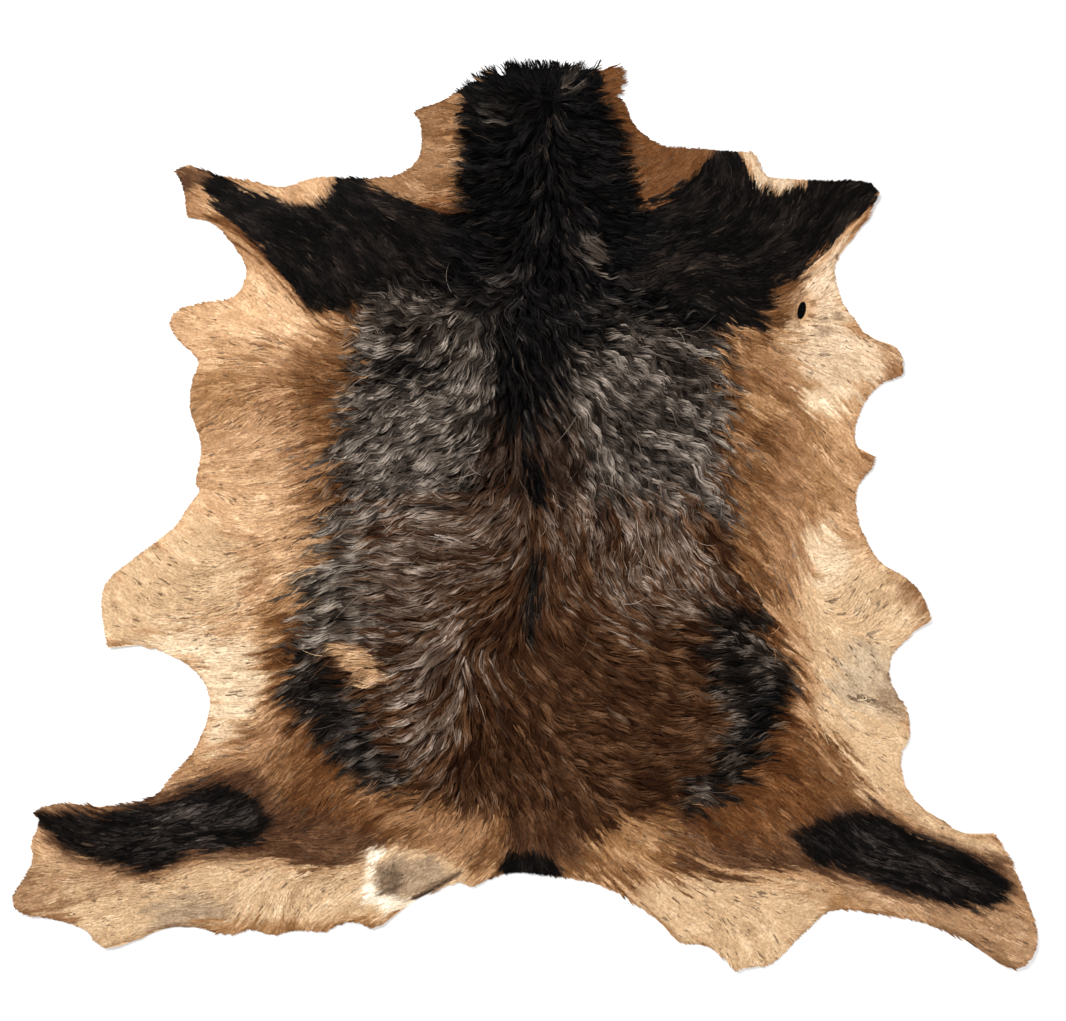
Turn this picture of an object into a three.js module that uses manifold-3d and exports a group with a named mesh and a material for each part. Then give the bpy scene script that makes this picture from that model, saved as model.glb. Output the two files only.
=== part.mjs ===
// A goat hide with its hair on, lying flat with the hair side up. Leather and pile are one piece: a thin, lumpy
// slab with the trimmed outline, a small flaying hole, long waved hair along the back, short hair on the flanks
// and legs, and loose tufts at the rim. Millimetres, +Z up, +Y towards the neck, +X to the right seen from
// above, with the origin under the middle of the outline's box.
import * as THREE from "three";
import { mergeVertices } from "three/addons/utils/BufferGeometryUtils.js";
import Module from "manifold-3d";

// Depth of skin and hair together
const RIM_DEPTH = 3; // at the trimmed edge
const SHORT_PILE_DEPTH = 7.5; // over flanks and legs
const EDGE_TAPER = 42; // how far in from the edge the full depth is reached

// Hair waves across the back
const WAVE_HEIGHT = 1.3;
const WAVE_PITCH = 62; // from one wave to the next, towards the tail
const WAVE_BEND = 21; // how far a wave wanders on its way across
const WAVE_BEND_PITCH = 190;
const BACK = { x: 10, y: -10, along: 154, across: 214, turn: 0 }; // where the hair is long enough to wave

// Spacing of the points that carry the shape
const EDGE_STEP = 9.5;
const HOLE_STEPS = 14;
const PILE_STEP = 17;
const UNDERSIDE_STEP = 44;
const EDGE_CLEARANCE = 9.4; // between the edge and the first points inside it
const POINT_WANDER = 0.08; // how far a point strays from its row, as a share of the step
const WANDER_RATES = { x: 0.31, y: 0.23 }; // radians a millimetre
const FRAME_REACH = 20000; // of the triangle that the first points are set into
const WELD = 1e-4; // points nearer than this are one

// The flaying hole, a slit cut right through
const HOLE = { x: 276.5, y: 206, halfWidth: 4.2, halfLength: 9.2, turn: -12 };
const HOLE_TAPER = 14; // how far out from the hole the full depth is reached

// A lift less than this is none, so that the hide lies truly flat
const LEAST_LIFT = 0.02;

// A lock at the rim
const LOCK_STEPS = 4;
const LOCK_SIDES = 4;
const LOCK_BED = 0.4; // lowest point of a lock above the underside
const LOCK_ROOT_INSIDE = 7; // how far a lock's root lies inside the rim
const LOCK_FLATNESS = 0.55; // a lock's depth as a share of its width
const LOCK_CURL = 0.35; // sideways bend as a share of its length
const LOCK_FULLNESS = 1.5; // how long a lock stays wide before it tapers

const asRows = (columns, rows) =>
  rows.map((row) => Object.fromEntries(columns.map((column, i) => [column, row[i]])));

// The trimmed edge, clockwise seen from above. A sharp row is a corner; the edge runs smoothly through the rest.
const sharp = true;
const edgeRows = (rows) => asRows(["x", "y", "sharp"], rows);

const NECK_EDGE = edgeRows([
  [-111, 403, sharp],
  [-78, 417],
  [-52, 434],
  [-10, 443],
  [8, 447],
  [22, 448],
  [38, 444],
  [54, 443],
  [77, 446],
  [97, 442, sharp],
  [94, 432],
  [97, 425, sharp],
  [91, 420, sharp],
  [98, 415],
  [109, 391],
  [137, 370],
  [171, 367],
]);

const RIGHT_FORELEG_EDGE = edgeRows([
  [229, 363, sharp],
  [240, 340],
  [259, 337],
  [301, 335],
  [343, 333],
  [352, 325, sharp],
  [341, 298],
  [320, 270],
  [309, 249],
  [317, 214],
  [329, 197],
  [342, 181],
  [372, 168],
  [376, 158],
  [376, 141, sharp],
]);

const RIGHT_FLANK_EDGE = edgeRows([
  [353, 131],
  [333, 103],
  [330, 71],
  [348, 61],
  [348, 52],
  [331, 28],
  [333, -7],
  [355, -46],
  [381, -62],
  [397, -80],
  [405, -104, sharp],
  [374, -127],
  [363, -153],
  [372, -180],
  [380, -190],
  [383, -222],
  [375, -236],
  [378, -264],
  [388, -282],
  [421, -308],
  [437, -316],
  [453, -317],
  [468, -316, sharp],
]);

const RIGHT_HIND_LEG_EDGE = edgeRows([
  [482, -340],
  [501, -383],
  [511, -421],
  [501, -444],
  [486, -451],
  [443, -425],
  [409, -408],
  [355, -396],
  [305, -394],
  [275, -419],
  [245, -447],
  [223, -449],
]);

const RUMP_EDGE = edgeRows([
  [211, -453, sharp],
  [190, -433],
  [173, -427],
  [156, -426],
  [129, -400],
  [86, -372],
  [38, -360],
  [-16, -356],
  [-54, -369, sharp],
  [-65, -365],
  [-107, -382],
  [-150, -410],
  [-167, -405],
  [-183, -406],
  [-203, -414],
  [-228, -413],
]);

const LEFT_HIND_LEG_EDGE = edgeRows([
  [-252, -418],
  [-273, -412],
  [-295, -417],
  [-322, -411],
  [-356, -411],
  [-394, -425],
  [-416, -430],
  [-429, -424],
  [-437, -413],
  [-471, -402],
  [-504, -393],
  [-511, -383],
  [-491, -344],
  [-493, -327],
  [-484, -304],
  [-490, -295, sharp],
  [-471, -288],
  [-410, -290],
  [-368, -278],
  [-352, -260],
  [-332, -237],
  [-314, -184],
  [-329, -154],
  [-357, -136],
  [-378, -129],
]);

const LEFT_FLANK_EDGE = edgeRows([
  [-416, -131, sharp],
  [-422, -92],
  [-418, -67],
  [-390, -42],
  [-348, -9],
  [-336, 10],
  [-324, 26],
  [-328, 35, sharp],
  [-323, 71],
  [-334, 108],
  [-331, 139],
  [-325, 153],
  [-347, 179],
  [-354, 191],
  [-350, 203],
  [-326, 212],
  [-289, 220],
  [-278, 246],
  [-286, 265],
  [-308, 292],
]);

const LEFT_FORELEG_EDGE = edgeRows([
  [-337, 299, sharp],
  [-342, 333],
  [-349, 344, sharp],
  [-336, 350],
  [-308, 340],
  [-259, 331],
  [-237, 329],
  [-210, 338],
  [-161, 337],
  [-121, 343],
  [-104, 362],
  [-103, 382],
  [-105, 397],
]);

const EDGE = [
  ...NECK_EDGE,
  ...RIGHT_FORELEG_EDGE,
  ...RIGHT_FLANK_EDGE,
  ...RIGHT_HIND_LEG_EDGE,
  ...RUMP_EDGE,
  ...LEFT_HIND_LEG_EDGE,
  ...LEFT_FLANK_EDGE,
  ...LEFT_FORELEG_EDGE,
];

// Where the hair stands higher or lies lower than on the flanks. Each row is an oval swell, or a hollow where
// rise is negative: its middle, its half sizes along and across, the turn of its long way, and its height.
const PILE_SWELLS = asRows(["x", "y", "along", "across", "turn", "rise"], [
  [15, 370, 75, 62, 90, 3.6], // neck mane
  [-140, 262, 120, 46, -12, 2.8], // left shoulder
  [185, 258, 120, 50, 12, 2.8], // right shoulder
  [-85, 120, 110, 80, 0, 5.0], // waved hair on the left of the back
  [115, 120, 105, 85, 0, 5.0], // waved hair on the right of the back
  [-85, -60, 120, 95, 8, 4.2],
  [120, -60, 120, 95, -8, 4.2],
  [-60, -225, 110, 70, 0, 3.4],
  [95, -225, 115, 70, 0, 3.4],
  [-212, -188, 62, 34, 108, 2.6], // dark tuft on the left hip
  [240, -170, 66, 40, 80, 2.8], // dark tuft on the right hip
  [9, -75, 90, 9, 90, -4.6], // crease along the spine
  [8, 60, 90, 12, 90, -2.4],
  [9, -260, 70, 11, 90, -1.8], // parting towards the tail
  [-385, -318, 95, 20, 8, 2.2], // dark stripe of the left hind leg
  [405, -352, 110, 24, -27, 2.4], // dark stripe of the right hind leg
  [341, -186, 26, 8, -4, -2.6], // crease on the right flank
  [318, -164, 40, 46, 0, -2.2], // thin hair on the right flank
  [-112, -357, 36, 20, 10, -2.8], // thin hair beside the tail
  [-152, -362, 24, 8, 62, 2.6], // raised fold round it
  [8, -350, 26, 12, 0, 2.0], // tail stub
  [-310, -82, 70, 60, 20, 1.4],
]);

// Where skin and hair together lift off what the hide lies on: the tips and lobes curl, and the edges buckle.
const LIFTS = asRows(["x", "y", "reach", "height"], [
  [-111, 403, 46, 5],
  [97, 432, 40, 4],
  [235, 352, 42, 4.5],
  [352, 325, 62, 6.5],
  [-349, 344, 62, 7],
  [-232, 330, 44, 3.5],
  [376, 152, 46, 5],
  [348, 57, 34, 3.5],
  [405, -104, 52, 5],
  [385, -230, 44, 3],
  [468, -316, 48, 4.5],
  [498, -440, 70, 8],
  [211, -453, 54, 5.5],
  [-54, -369, 30, 3],
  [-150, -408, 46, 4.5],
  [-416, -428, 56, 5.5],
  [-508, -388, 58, 6.5],
  [-490, -295, 44, 5],
  [-416, -131, 56, 5],
  [-422, -80, 46, 3.5],
  [-326, 32, 36, 3],
  [-352, 194, 46, 5],
]);

// Loose locks over the rim: the root, the way the lock points, its length and its width.
const LOCKS = asRows(["x", "y", "heading", "length", "width"], [
  [-34, 438, 50, 6, 9],
  [-18, 441, 40, 6, 9],
  [-4, 443, 34, 8, 8],
  [5, 446, 50, 5, 7],
  [15, 447, 30, 6, 8],
  [27, 446, 24, 8, 7],
  [33, 444, 62, 6, 6],
  [43, 443, 42, 8, 6],
  [58, 443, 28, 8, 7],
  [72, 444, 60, 4, 8],
  [84, 443, 62, 3, 7],
  [97, 410, 8, 5, 7],
  [-236, 329, 112, 4, 8],
  [-222, 333, 84, 5, 9],
  [-205, 337, 72, 4, 9],
  [-190, 337, 58, 4, 8],
  [-148, 337, 60, 3, 8],
  [-350, 196, 196, 4, 8],
  [-352, 187, 214, 4, 8],
  [-26, -356, 258, 3, 9],
  [-12, -356, 264, 3, 10],
  [4, -356, 272, 3, 10],
  [20, -357, 282, 3, 9],
  [402, -98, 16, 3, 7],
  [300, -394, 250, 3, 9],
]);

const radians = THREE.MathUtils.degToRad;

function bell(distance) {
  return Math.exp(-0.5 * distance * distance);
}

// How far a point is from a row's middle, in that row's own half sizes.
function ovalDistance(point, { x, y, along, across, turn }) {
  const angle = radians(turn);
  const [dx, dy] = [point.x - x, point.y - y];
  const u = (dx * Math.cos(angle) + dy * Math.sin(angle)) / along;
  const v = (dy * Math.cos(angle) - dx * Math.sin(angle)) / across;
  return Math.hypot(u, v);
}

// The edge as one closed run of points, smooth between its sharp rows.
function edgePoints() {
  const points = [];
  const corners = EDGE.flatMap((row, i) => (row.sharp ? [i] : []));
  corners.forEach((from, i) => {
    const to = i + 1 < corners.length ? corners[i + 1] : corners[0] + EDGE.length;
    const run = [];
    for (let k = from; k <= to; k++) {
      const { x, y } = EDGE[k % EDGE.length];
      run.push(new THREE.Vector3(x, y, 0));
    }
    const curve = new THREE.CatmullRomCurve3(run, false, "centripetal");
    const steps = Math.max(1, Math.round(curve.getLength() / EDGE_STEP));
    points.push(...curve.getSpacedPoints(steps).slice(0, -1));
  });
  return points.map((p) => new THREE.Vector2(p.x, p.y));
}

function holePoints() {
  const oval = new THREE.EllipseCurve(
    HOLE.x, HOLE.y, HOLE.halfWidth, HOLE.halfLength, 0, 2 * Math.PI, false, radians(HOLE.turn),
  );
  return oval.getPoints(HOLE_STEPS).slice(0, -1);
}

function isInside(point, ring) {
  let inside = false;
  ring.forEach((a, i) => {
    const b = ring[(i + 1) % ring.length];
    const crosses = a.y > point.y !== b.y > point.y;
    if (crosses && point.x < a.x + ((b.x - a.x) * (point.y - a.y)) / (b.y - a.y)) inside = !inside;
  });
  return inside;
}

function distanceToRing(point, ring) {
  let nearest = Infinity;
  ring.forEach((a, i) => {
    const b = ring[(i + 1) % ring.length];
    const side = b.clone().sub(a);
    const share = THREE.MathUtils.clamp(point.clone().sub(a).dot(side) / side.lengthSq(), 0, 1);
    nearest = Math.min(nearest, point.distanceTo(a.clone().addScaledVector(side, share)));
  });
  return nearest;
}

// Rows of points a step apart, every other row shifted by half a step, that lie clear of the edges.
function pointsInside(edge, hole, step) {
  const box = new THREE.Box2().setFromPoints(edge);
  const wander = step * POINT_WANDER;
  const rowHeight = (step * Math.sqrt(3)) / 2;
  const found = [];
  for (let row = 0, y = box.min.y; y < box.max.y; row++, y += rowHeight) {
    for (let x = box.min.x + (row % 2) * (step / 2); x < box.max.x; x += step) {
      const point = new THREE.Vector2(
        x + wander * Math.sin(y * WANDER_RATES.x),
        y + wander * Math.sin(x * WANDER_RATES.y + row),
      );
      const onHide = isInside(point, edge) && !isInside(point, hole);
      const clear = [edge, hole].every((ring) => distanceToRing(point, ring) >= EDGE_CLEARANCE);
      if (onHide && clear) found.push(point);
    }
  }
  return found;
}

function circleThrough(a, b, c) {
  const [bx, by, cx, cy] = [b.x - a.x, b.y - a.y, c.x - a.x, c.y - a.y];
  const twice = 2 * (bx * cy - by * cx);
  const [bb, cc] = [bx * bx + by * by, cx * cx + cy * cy];
  const [x, y] = [(cy * bb - by * cc) / twice, (bx * cc - cx * bb) / twice];
  return { x: a.x + x, y: a.y + y, radius2: x * x + y * y };
}

// Delaunay triangles over the points, each added in turn to one large triangle that holds them all.
function triangulate(points) {
  const n = points.length;
  const frame = [[-1, -1], [1, -1], [0, 1]].map(([x, y]) => new THREE.Vector2(x, y).multiplyScalar(FRAME_REACH));
  const all = [...points, ...frame];
  const make = (corners) => ({ corners, circle: circleThrough(...corners.map((i) => all[i])) });
  let triangles = [make([n, n + 1, n + 2])];
  points.forEach((point, index) => {
    const rim = new Map();
    triangles = triangles.filter(({ corners, circle }) => {
      if ((point.x - circle.x) ** 2 + (point.y - circle.y) ** 2 >= circle.radius2) return true;
      corners.forEach((from, k) => {
        const to = corners[(k + 1) % 3];
        if (!rim.delete(`${to},${from}`)) rim.set(`${from},${to}`, [from, to]);
      });
      return false;
    });
    for (const [from, to] of rim.values()) triangles.push(make([from, to, index]));
  });
  return triangles.map((t) => t.corners).filter((corners) => corners.every((i) => i < n));
}

// The triangles of the hide's plan, with the edges' points first, counter-clockwise.
function planOf(edge, hole, step) {
  const points = [...edge, ...hole, ...pointsInside(edge, hole, step)];
  const triangles = triangulate(points).filter((corners) => {
    const middle = new THREE.Vector2();
    corners.forEach((i) => middle.addScaledVector(points[i], 1 / 3));
    return isInside(middle, edge) && !isInside(middle, hole);
  });
  return { points, triangles };
}

function liftAt(point) {
  const lift = LIFTS.reduce((sum, { x, y, reach, height }) => {
    const share = Math.max(0, 1 - Math.hypot(point.x - x, point.y - y) / reach);
    return sum + height * share * share;
  }, 0);
  return lift < LEAST_LIFT ? 0 : lift;
}

function pileDepthAt(point, edge, hole) {
  const fullAtEdge = THREE.MathUtils.smoothstep(distanceToRing(point, edge), 0, EDGE_TAPER);
  const fullAtHole = THREE.MathUtils.smoothstep(distanceToRing(point, hole), 0, HOLE_TAPER);
  const swells = PILE_SWELLS.reduce((sum, row) => sum + row.rise * bell(ovalDistance(point, row)), 0);
  const onBack = bell(ovalDistance(point, BACK));
  const bend = WAVE_BEND * Math.sin((2 * Math.PI * point.x) / WAVE_BEND_PITCH);
  const wave = WAVE_HEIGHT * onBack * Math.sin((2 * Math.PI * (point.y + bend)) / WAVE_PITCH);
  return RIM_DEPTH + fullAtEdge * fullAtHole * (SHORT_PILE_DEPTH - RIM_DEPTH + swells + wave);
}

function closedGeometry(triangles) {
  const geometry = new THREE.BufferGeometry().setFromPoints(triangles.flat());
  return mergeVertices(geometry, WELD);
}

// One closed body: the pile's surface on top, the skin's flat side below, and the trimmed edge between them.
function slabGeometry(edge, hole) {
  const above = (p) => new THREE.Vector3(p.x, p.y, liftAt(p) + pileDepthAt(p, edge, hole));
  const below = (p) => new THREE.Vector3(p.x, p.y, liftAt(p));

  const top = planOf(edge, hole, PILE_STEP);
  const topPoints = top.points.map(above);
  const pile = top.triangles.map((corners) => corners.map((i) => topPoints[i]));

  const underside = planOf(edge, hole, UNDERSIDE_STEP);
  const undersidePoints = underside.points.map(below);
  const flesh = underside.triangles.map(([a, b, c]) => [a, c, b].map((i) => undersidePoints[i]));

  const trim = [edge, hole].flatMap((ring) =>
    ring.flatMap((from, i) => {
      const to = ring[(i + 1) % ring.length];
      return [
        [above(to), above(from), below(from)],
        [above(to), below(from), below(to)],
      ];
    }),
  );
  return closedGeometry([...pile, ...flesh, ...trim]);
}

// A tapered lock with a four-sided section, bending sideways and ending in a point.
function lockGeometry({ x, y, heading, length, width }, index) {
  const ahead = new THREE.Vector2(Math.cos(radians(heading)), Math.sin(radians(heading)));
  const aside = new THREE.Vector2(-ahead.y, ahead.x);
  const root = new THREE.Vector2(x, y).addScaledVector(ahead, -LOCK_ROOT_INSIDE);
  const reach = length + LOCK_ROOT_INSIDE; // from the root to the tip
  const curl = reach * LOCK_CURL * (index % 2 ? 1 : -1);
  const height = liftAt(new THREE.Vector2(x, y)) + LOCK_BED + (width / 2) * LOCK_FLATNESS;
  const middleAt = (share) =>
    root.clone().addScaledVector(ahead, reach * share).addScaledVector(aside, curl * share * share);

  const rings = [];
  for (let step = 0; step < LOCK_STEPS; step++) {
    const share = step / LOCK_STEPS;
    const half = (width / 2) * (1 - share ** LOCK_FULLNESS);
    const ring = [];
    for (let side = 0; side < LOCK_SIDES; side++) {
      const angle = (2 * Math.PI * side) / LOCK_SIDES;
      const flat = middleAt(share).addScaledVector(aside, half * Math.cos(angle));
      ring.push(new THREE.Vector3(flat.x, flat.y, height + half * LOCK_FLATNESS * Math.sin(angle)));
    }
    rings.push(ring);
  }
  const end = middleAt(1);
  const tip = new THREE.Vector3(end.x, end.y, height);

  const triangles = [];
  const first = rings[0];
  const last = rings[LOCK_STEPS - 1];
  for (let side = 0; side < LOCK_SIDES; side++) {
    const next = (side + 1) % LOCK_SIDES;
    for (let step = 0; step + 1 < LOCK_STEPS; step++) {
      const [near, beyond] = [rings[step], rings[step + 1]];
      triangles.push([near[side], beyond[next], beyond[side]], [near[side], near[next], beyond[next]]);
    }
    triangles.push([last[side], last[next], tip]);
    if (side > 0 && next > 0) triangles.push([first[0], first[next], first[side]]);
  }
  return closedGeometry(triangles);
}

const wasm = await Module();
wasm.setup();

function solidOf(geometry) {
  return new wasm.Manifold(
    new wasm.Mesh({
      numProp: 3,
      vertProperties: new Float32Array(geometry.attributes.position.array),
      triVerts: new Uint32Array(geometry.index.array),
    }),
  );
}

function geometryOf(solid) {
  const mesh = solid.getMesh();
  const geometry = new THREE.BufferGeometry();
  geometry.setAttribute("position", new THREE.Float32BufferAttribute(mesh.vertProperties, 3));
  geometry.setIndex(new THREE.Uint32BufferAttribute(mesh.triVerts, 1));
  return geometry;
}

function hideGeometry() {
  const edge = edgePoints().reverse();
  const hole = holePoints().reverse();
  let solid = solidOf(slabGeometry(edge, hole));
  LOCKS.forEach((lock, index) => {
    solid = solid.add(solidOf(lockGeometry(lock, index)));
  });
  const geometry = geometryOf(solid);
  geometry.computeBoundingBox();
  const box = geometry.boundingBox;
  const middle = box.getCenter(new THREE.Vector3());
  geometry.translate(-middle.x, -middle.y, -box.min.z);
  geometry.computeVertexNormals();
  return geometry;
}

const brownHair = new THREE.MeshStandardMaterial({ color: 0x5a3f2b, roughness: 0.8, metalness: 0 });

const hide = new THREE.Mesh(hideGeometry(), brownHair);
hide.name = "hide";

const group = new THREE.Group();
group.add(hide);

export default group;
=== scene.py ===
# %% Load the frame
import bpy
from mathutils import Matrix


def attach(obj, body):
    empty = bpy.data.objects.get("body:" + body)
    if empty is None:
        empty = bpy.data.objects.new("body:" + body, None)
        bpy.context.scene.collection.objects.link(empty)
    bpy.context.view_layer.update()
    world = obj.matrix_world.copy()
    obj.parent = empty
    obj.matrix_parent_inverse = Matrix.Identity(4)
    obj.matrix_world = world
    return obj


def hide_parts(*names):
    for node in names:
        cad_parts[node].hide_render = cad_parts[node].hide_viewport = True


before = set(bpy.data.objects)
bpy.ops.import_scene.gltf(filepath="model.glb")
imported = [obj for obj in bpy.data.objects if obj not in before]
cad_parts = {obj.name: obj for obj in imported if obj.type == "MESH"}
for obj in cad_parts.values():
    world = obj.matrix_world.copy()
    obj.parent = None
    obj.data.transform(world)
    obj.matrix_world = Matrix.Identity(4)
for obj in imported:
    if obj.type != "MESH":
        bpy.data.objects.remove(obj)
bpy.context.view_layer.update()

# %% [markdown]
# # A goat hide with its hair on
# The object is one tanned goat skin, trimmed to its natural outline and laid flat with the hair up. The
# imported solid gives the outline, the small flaying hole and the depth of the hair. Here the solid is
# replaced by a thin skin and by the hair itself: some hundred thousand flat strands, grouped in locks
# as real hair is. Hair could be a bump on a slab, but a hide is judged by the way its locks lie over
# each other, so the strands are real geometry. Tables are in millimetres in the hide's own frame: +Y to
# the neck, +X right, +Z up.

# %% Tools and units
from types import SimpleNamespace

import bmesh
import bpy
import numpy as np
from mathutils import Matrix, Vector
from mathutils.bvhtree import BVHTree

MM = 0.001
SEED = 11
TINY = 1e-6

# %% [markdown]
# ## Camera
# The hide is seen from straight above. A long lens high over it keeps the outline free of distortion,
# and the height follows from the width that the picture covers.

# %% Camera
IMAGE_WIDTH, IMAGE_HEIGHT = 1066, 1021
VIEW_WIDTH_MM = 1066.0
VIEW_MIDDLE_MM = (8.0, 5.5)
LENS, SENSOR = 70.0, 36.0

camera_data = bpy.data.cameras.new("camera")
camera_data.lens = LENS
camera_data.sensor_fit = "HORIZONTAL"
camera_data.sensor_width = SENSOR
camera = bpy.data.objects.new("camera", camera_data)
camera.location = (VIEW_MIDDLE_MM[0] * MM, VIEW_MIDDLE_MM[1] * MM, LENS / SENSOR * VIEW_WIDTH_MM * MM)
bpy.context.scene.collection.objects.link(camera)
bpy.context.scene.camera = camera
view_height = VIEW_WIDTH_MM * IMAGE_HEIGHT / IMAGE_WIDTH
print("camera height", round(camera.location.z, 3), "m, height of the view", round(view_height), "mm")

# %% [markdown]
# ## What the solid tells us
# The solid's underside is the skin's flat side, so its rim is the trimmed outline and the rim of the
# hole. Rays from above and below give the depth of the coat anywhere. A merged copy is used, because a
# CAD mesh is loose triangles and is itself left alone.

# %% Read the solid
UNDERSIDE_SLOPE = -0.5
WELD_MM = 0.01

solid = bmesh.new()
solid.from_mesh(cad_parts["hide"].data)
bmesh.ops.remove_doubles(solid, verts=solid.verts, dist=WELD_MM * MM)
solid.normal_update()
solid_tree = BVHTree.FromBMesh(solid)


def underside_faces(mesh):
    """The faces that look down and hang together round the middle, without the locks at the rim."""
    down = {f for f in mesh.faces if f.normal.z < UNDERSIDE_SLOPE}
    start = min(down, key=lambda f: f.calc_center_median().length)
    found, waiting = {start}, [start]
    while waiting:
        for edge in waiting.pop().edges:
            for face in edge.link_faces:
                if face in down and face not in found:
                    found.add(face)
                    waiting.append(face)
    return found


underside = underside_faces(solid)
bmesh.ops.delete(solid, geom=[f for f in solid.faces if f not in underside], context="FACES")


def rim_loops(mesh):
    """The open edges of a mesh as closed rings of points in millimetres, longest ring first."""
    ahead = {}
    for edge in mesh.edges:
        if len(edge.link_faces) == 1:
            loop = edge.link_loops[0]
            ahead[loop.vert] = loop.link_loop_next.vert
    rings = []
    while ahead:
        vert, following = ahead.popitem()
        ring = [vert]
        while following in ahead:
            ring.append(following)
            following = ahead.pop(following)
        rings.append(np.array([[v.co.x, v.co.y] for v in ring]) / MM)
    return sorted(rings, key=len, reverse=True)


outline, hole_rim = rim_loops(solid)[:2]
print("points on the outline", len(outline), "and on the hole's rim", len(hole_rim))

# %% [markdown]
# ## Small helpers for fields
# Everything about the coat, such as colour, length or waviness, changes over the hide. Each such
# quality is a field that can be asked for at many points at once, so the helpers take and give whole
# arrays.

# %% Distances and noise
NOISE_CELLS = 64


def ring_distance(points, ring):
    """Each point's distance to a closed ring, its nearest place there, and whether it lies inside."""
    best = np.full(len(points), np.inf)
    nearest = np.zeros_like(points)
    inside = np.zeros(len(points), bool)
    for a, b in zip(ring, np.roll(ring, -1, axis=0), strict=True):
        side = b - a
        share = np.clip(((points - a) @ side) / max(side @ side, TINY), 0, 1)
        place = a + share[:, None] * side
        distance = np.linalg.norm(points - place, axis=1)
        closer = distance < best
        best[closer] = distance[closer]
        nearest[closer] = place[closer]
        if a[1] != b[1]:
            crosses = (a[1] > points[:, 1]) != (b[1] > points[:, 1])
            inside ^= crosses & (points[:, 0] < a[0] + side[0] * (points[:, 1] - a[1]) / side[1])
    return best, nearest, inside


def unit(vectors):
    """The same directions with a length of one."""
    return vectors / np.maximum(np.linalg.norm(vectors, axis=-1), TINY)[..., None]


def soft_noise(points, pitch, seed):
    """Smooth noise from -1 to 1 whose bumps are about one pitch apart."""
    lattice = np.random.default_rng(seed).uniform(-1, 1, (NOISE_CELLS, NOISE_CELLS))
    at = points / pitch + NOISE_CELLS / 2
    cell = np.floor(at).astype(int)
    t = at - cell
    t = t * t * (3 - 2 * t)
    i, j = cell[:, 0] % NOISE_CELLS, cell[:, 1] % NOISE_CELLS
    i2, j2 = (i + 1) % NOISE_CELLS, (j + 1) % NOISE_CELLS
    low = lattice[i, j] * (1 - t[:, 0]) + lattice[i2, j] * t[:, 0]
    high = lattice[i, j2] * (1 - t[:, 0]) + lattice[i2, j2] * t[:, 0]
    return low * (1 - t[:, 1]) + high * t[:, 1]


def smooth_step(value, low, high):
    """0 up to the low value and 1 from the high one, with a soft ramp between."""
    t = np.clip((value - low) / (high - low), 0, 1)
    return t * t * (3 - 2 * t)


# %% [markdown]
# ### Heights of the skin and of the coat
# Vertical rays meet the solid's top and its underside on an even grid. Every later step asks the grid,
# which is far quicker than a new ray for each point of each hair.

# %% Heights of the skin and of the coat
GRID_STEP = 6.0
GRID_MARGIN = 4 * GRID_STEP
GRID_END = 1.001
RAY_START_MM = 60.0

grid_low = outline.min(0) - GRID_MARGIN
grid_size = np.ceil((outline.max(0) + GRID_MARGIN - grid_low) / GRID_STEP).astype(int) + 1


def cast(x, y, down):
    """Height in millimetres where a vertical ray meets the solid, or else that of its nearest place."""
    start = Vector((x * MM, y * MM, RAY_START_MM * MM * (1 if down else -1)))
    hit = solid_tree.ray_cast(start, Vector((0, 0, -1 if down else 1)))[0]
    if hit is None:
        hit = solid_tree.find_nearest(Vector((x * MM, y * MM, 0)))[0]
    return hit.z / MM


grid_x = grid_low[0] + GRID_STEP * np.arange(grid_size[0])
grid_y = grid_low[1] + GRID_STEP * np.arange(grid_size[1])
coat_top = np.array([[cast(x, y, True) for y in grid_y] for x in grid_x])
skin_base = np.array([[cast(x, y, False) for y in grid_y] for x in grid_x])


def sample(grid, points):
    """A grid's value at each point, blended between its four neighbours."""
    at = np.clip((points - grid_low) / GRID_STEP, 0, grid_size - GRID_END)
    cell = at.astype(int)
    t = at - cell
    i, j = cell[:, 0], cell[:, 1]
    near = grid[i, j] * (1 - t[:, 0]) + grid[i + 1, j] * t[:, 0]
    far = grid[i, j + 1] * (1 - t[:, 0]) + grid[i + 1, j + 1] * t[:, 0]
    return near * (1 - t[:, 1]) + far * t[:, 1]


print("coat's top from", round(coat_top.min(), 1), "to", round(coat_top.max(), 1), "mm")
print("cells of the grid", grid_size)

# %% [markdown]
# ## Which way the hair lies
# Hair leaves the spine outwards and down towards the tail, runs along the legs to their tips and turns
# in whorls at the armpits and groins. The table notes the heading at places one can name, in degrees, 0
# to the right and 90 to the neck, and every other place takes the mean of its neighbours.

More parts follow.
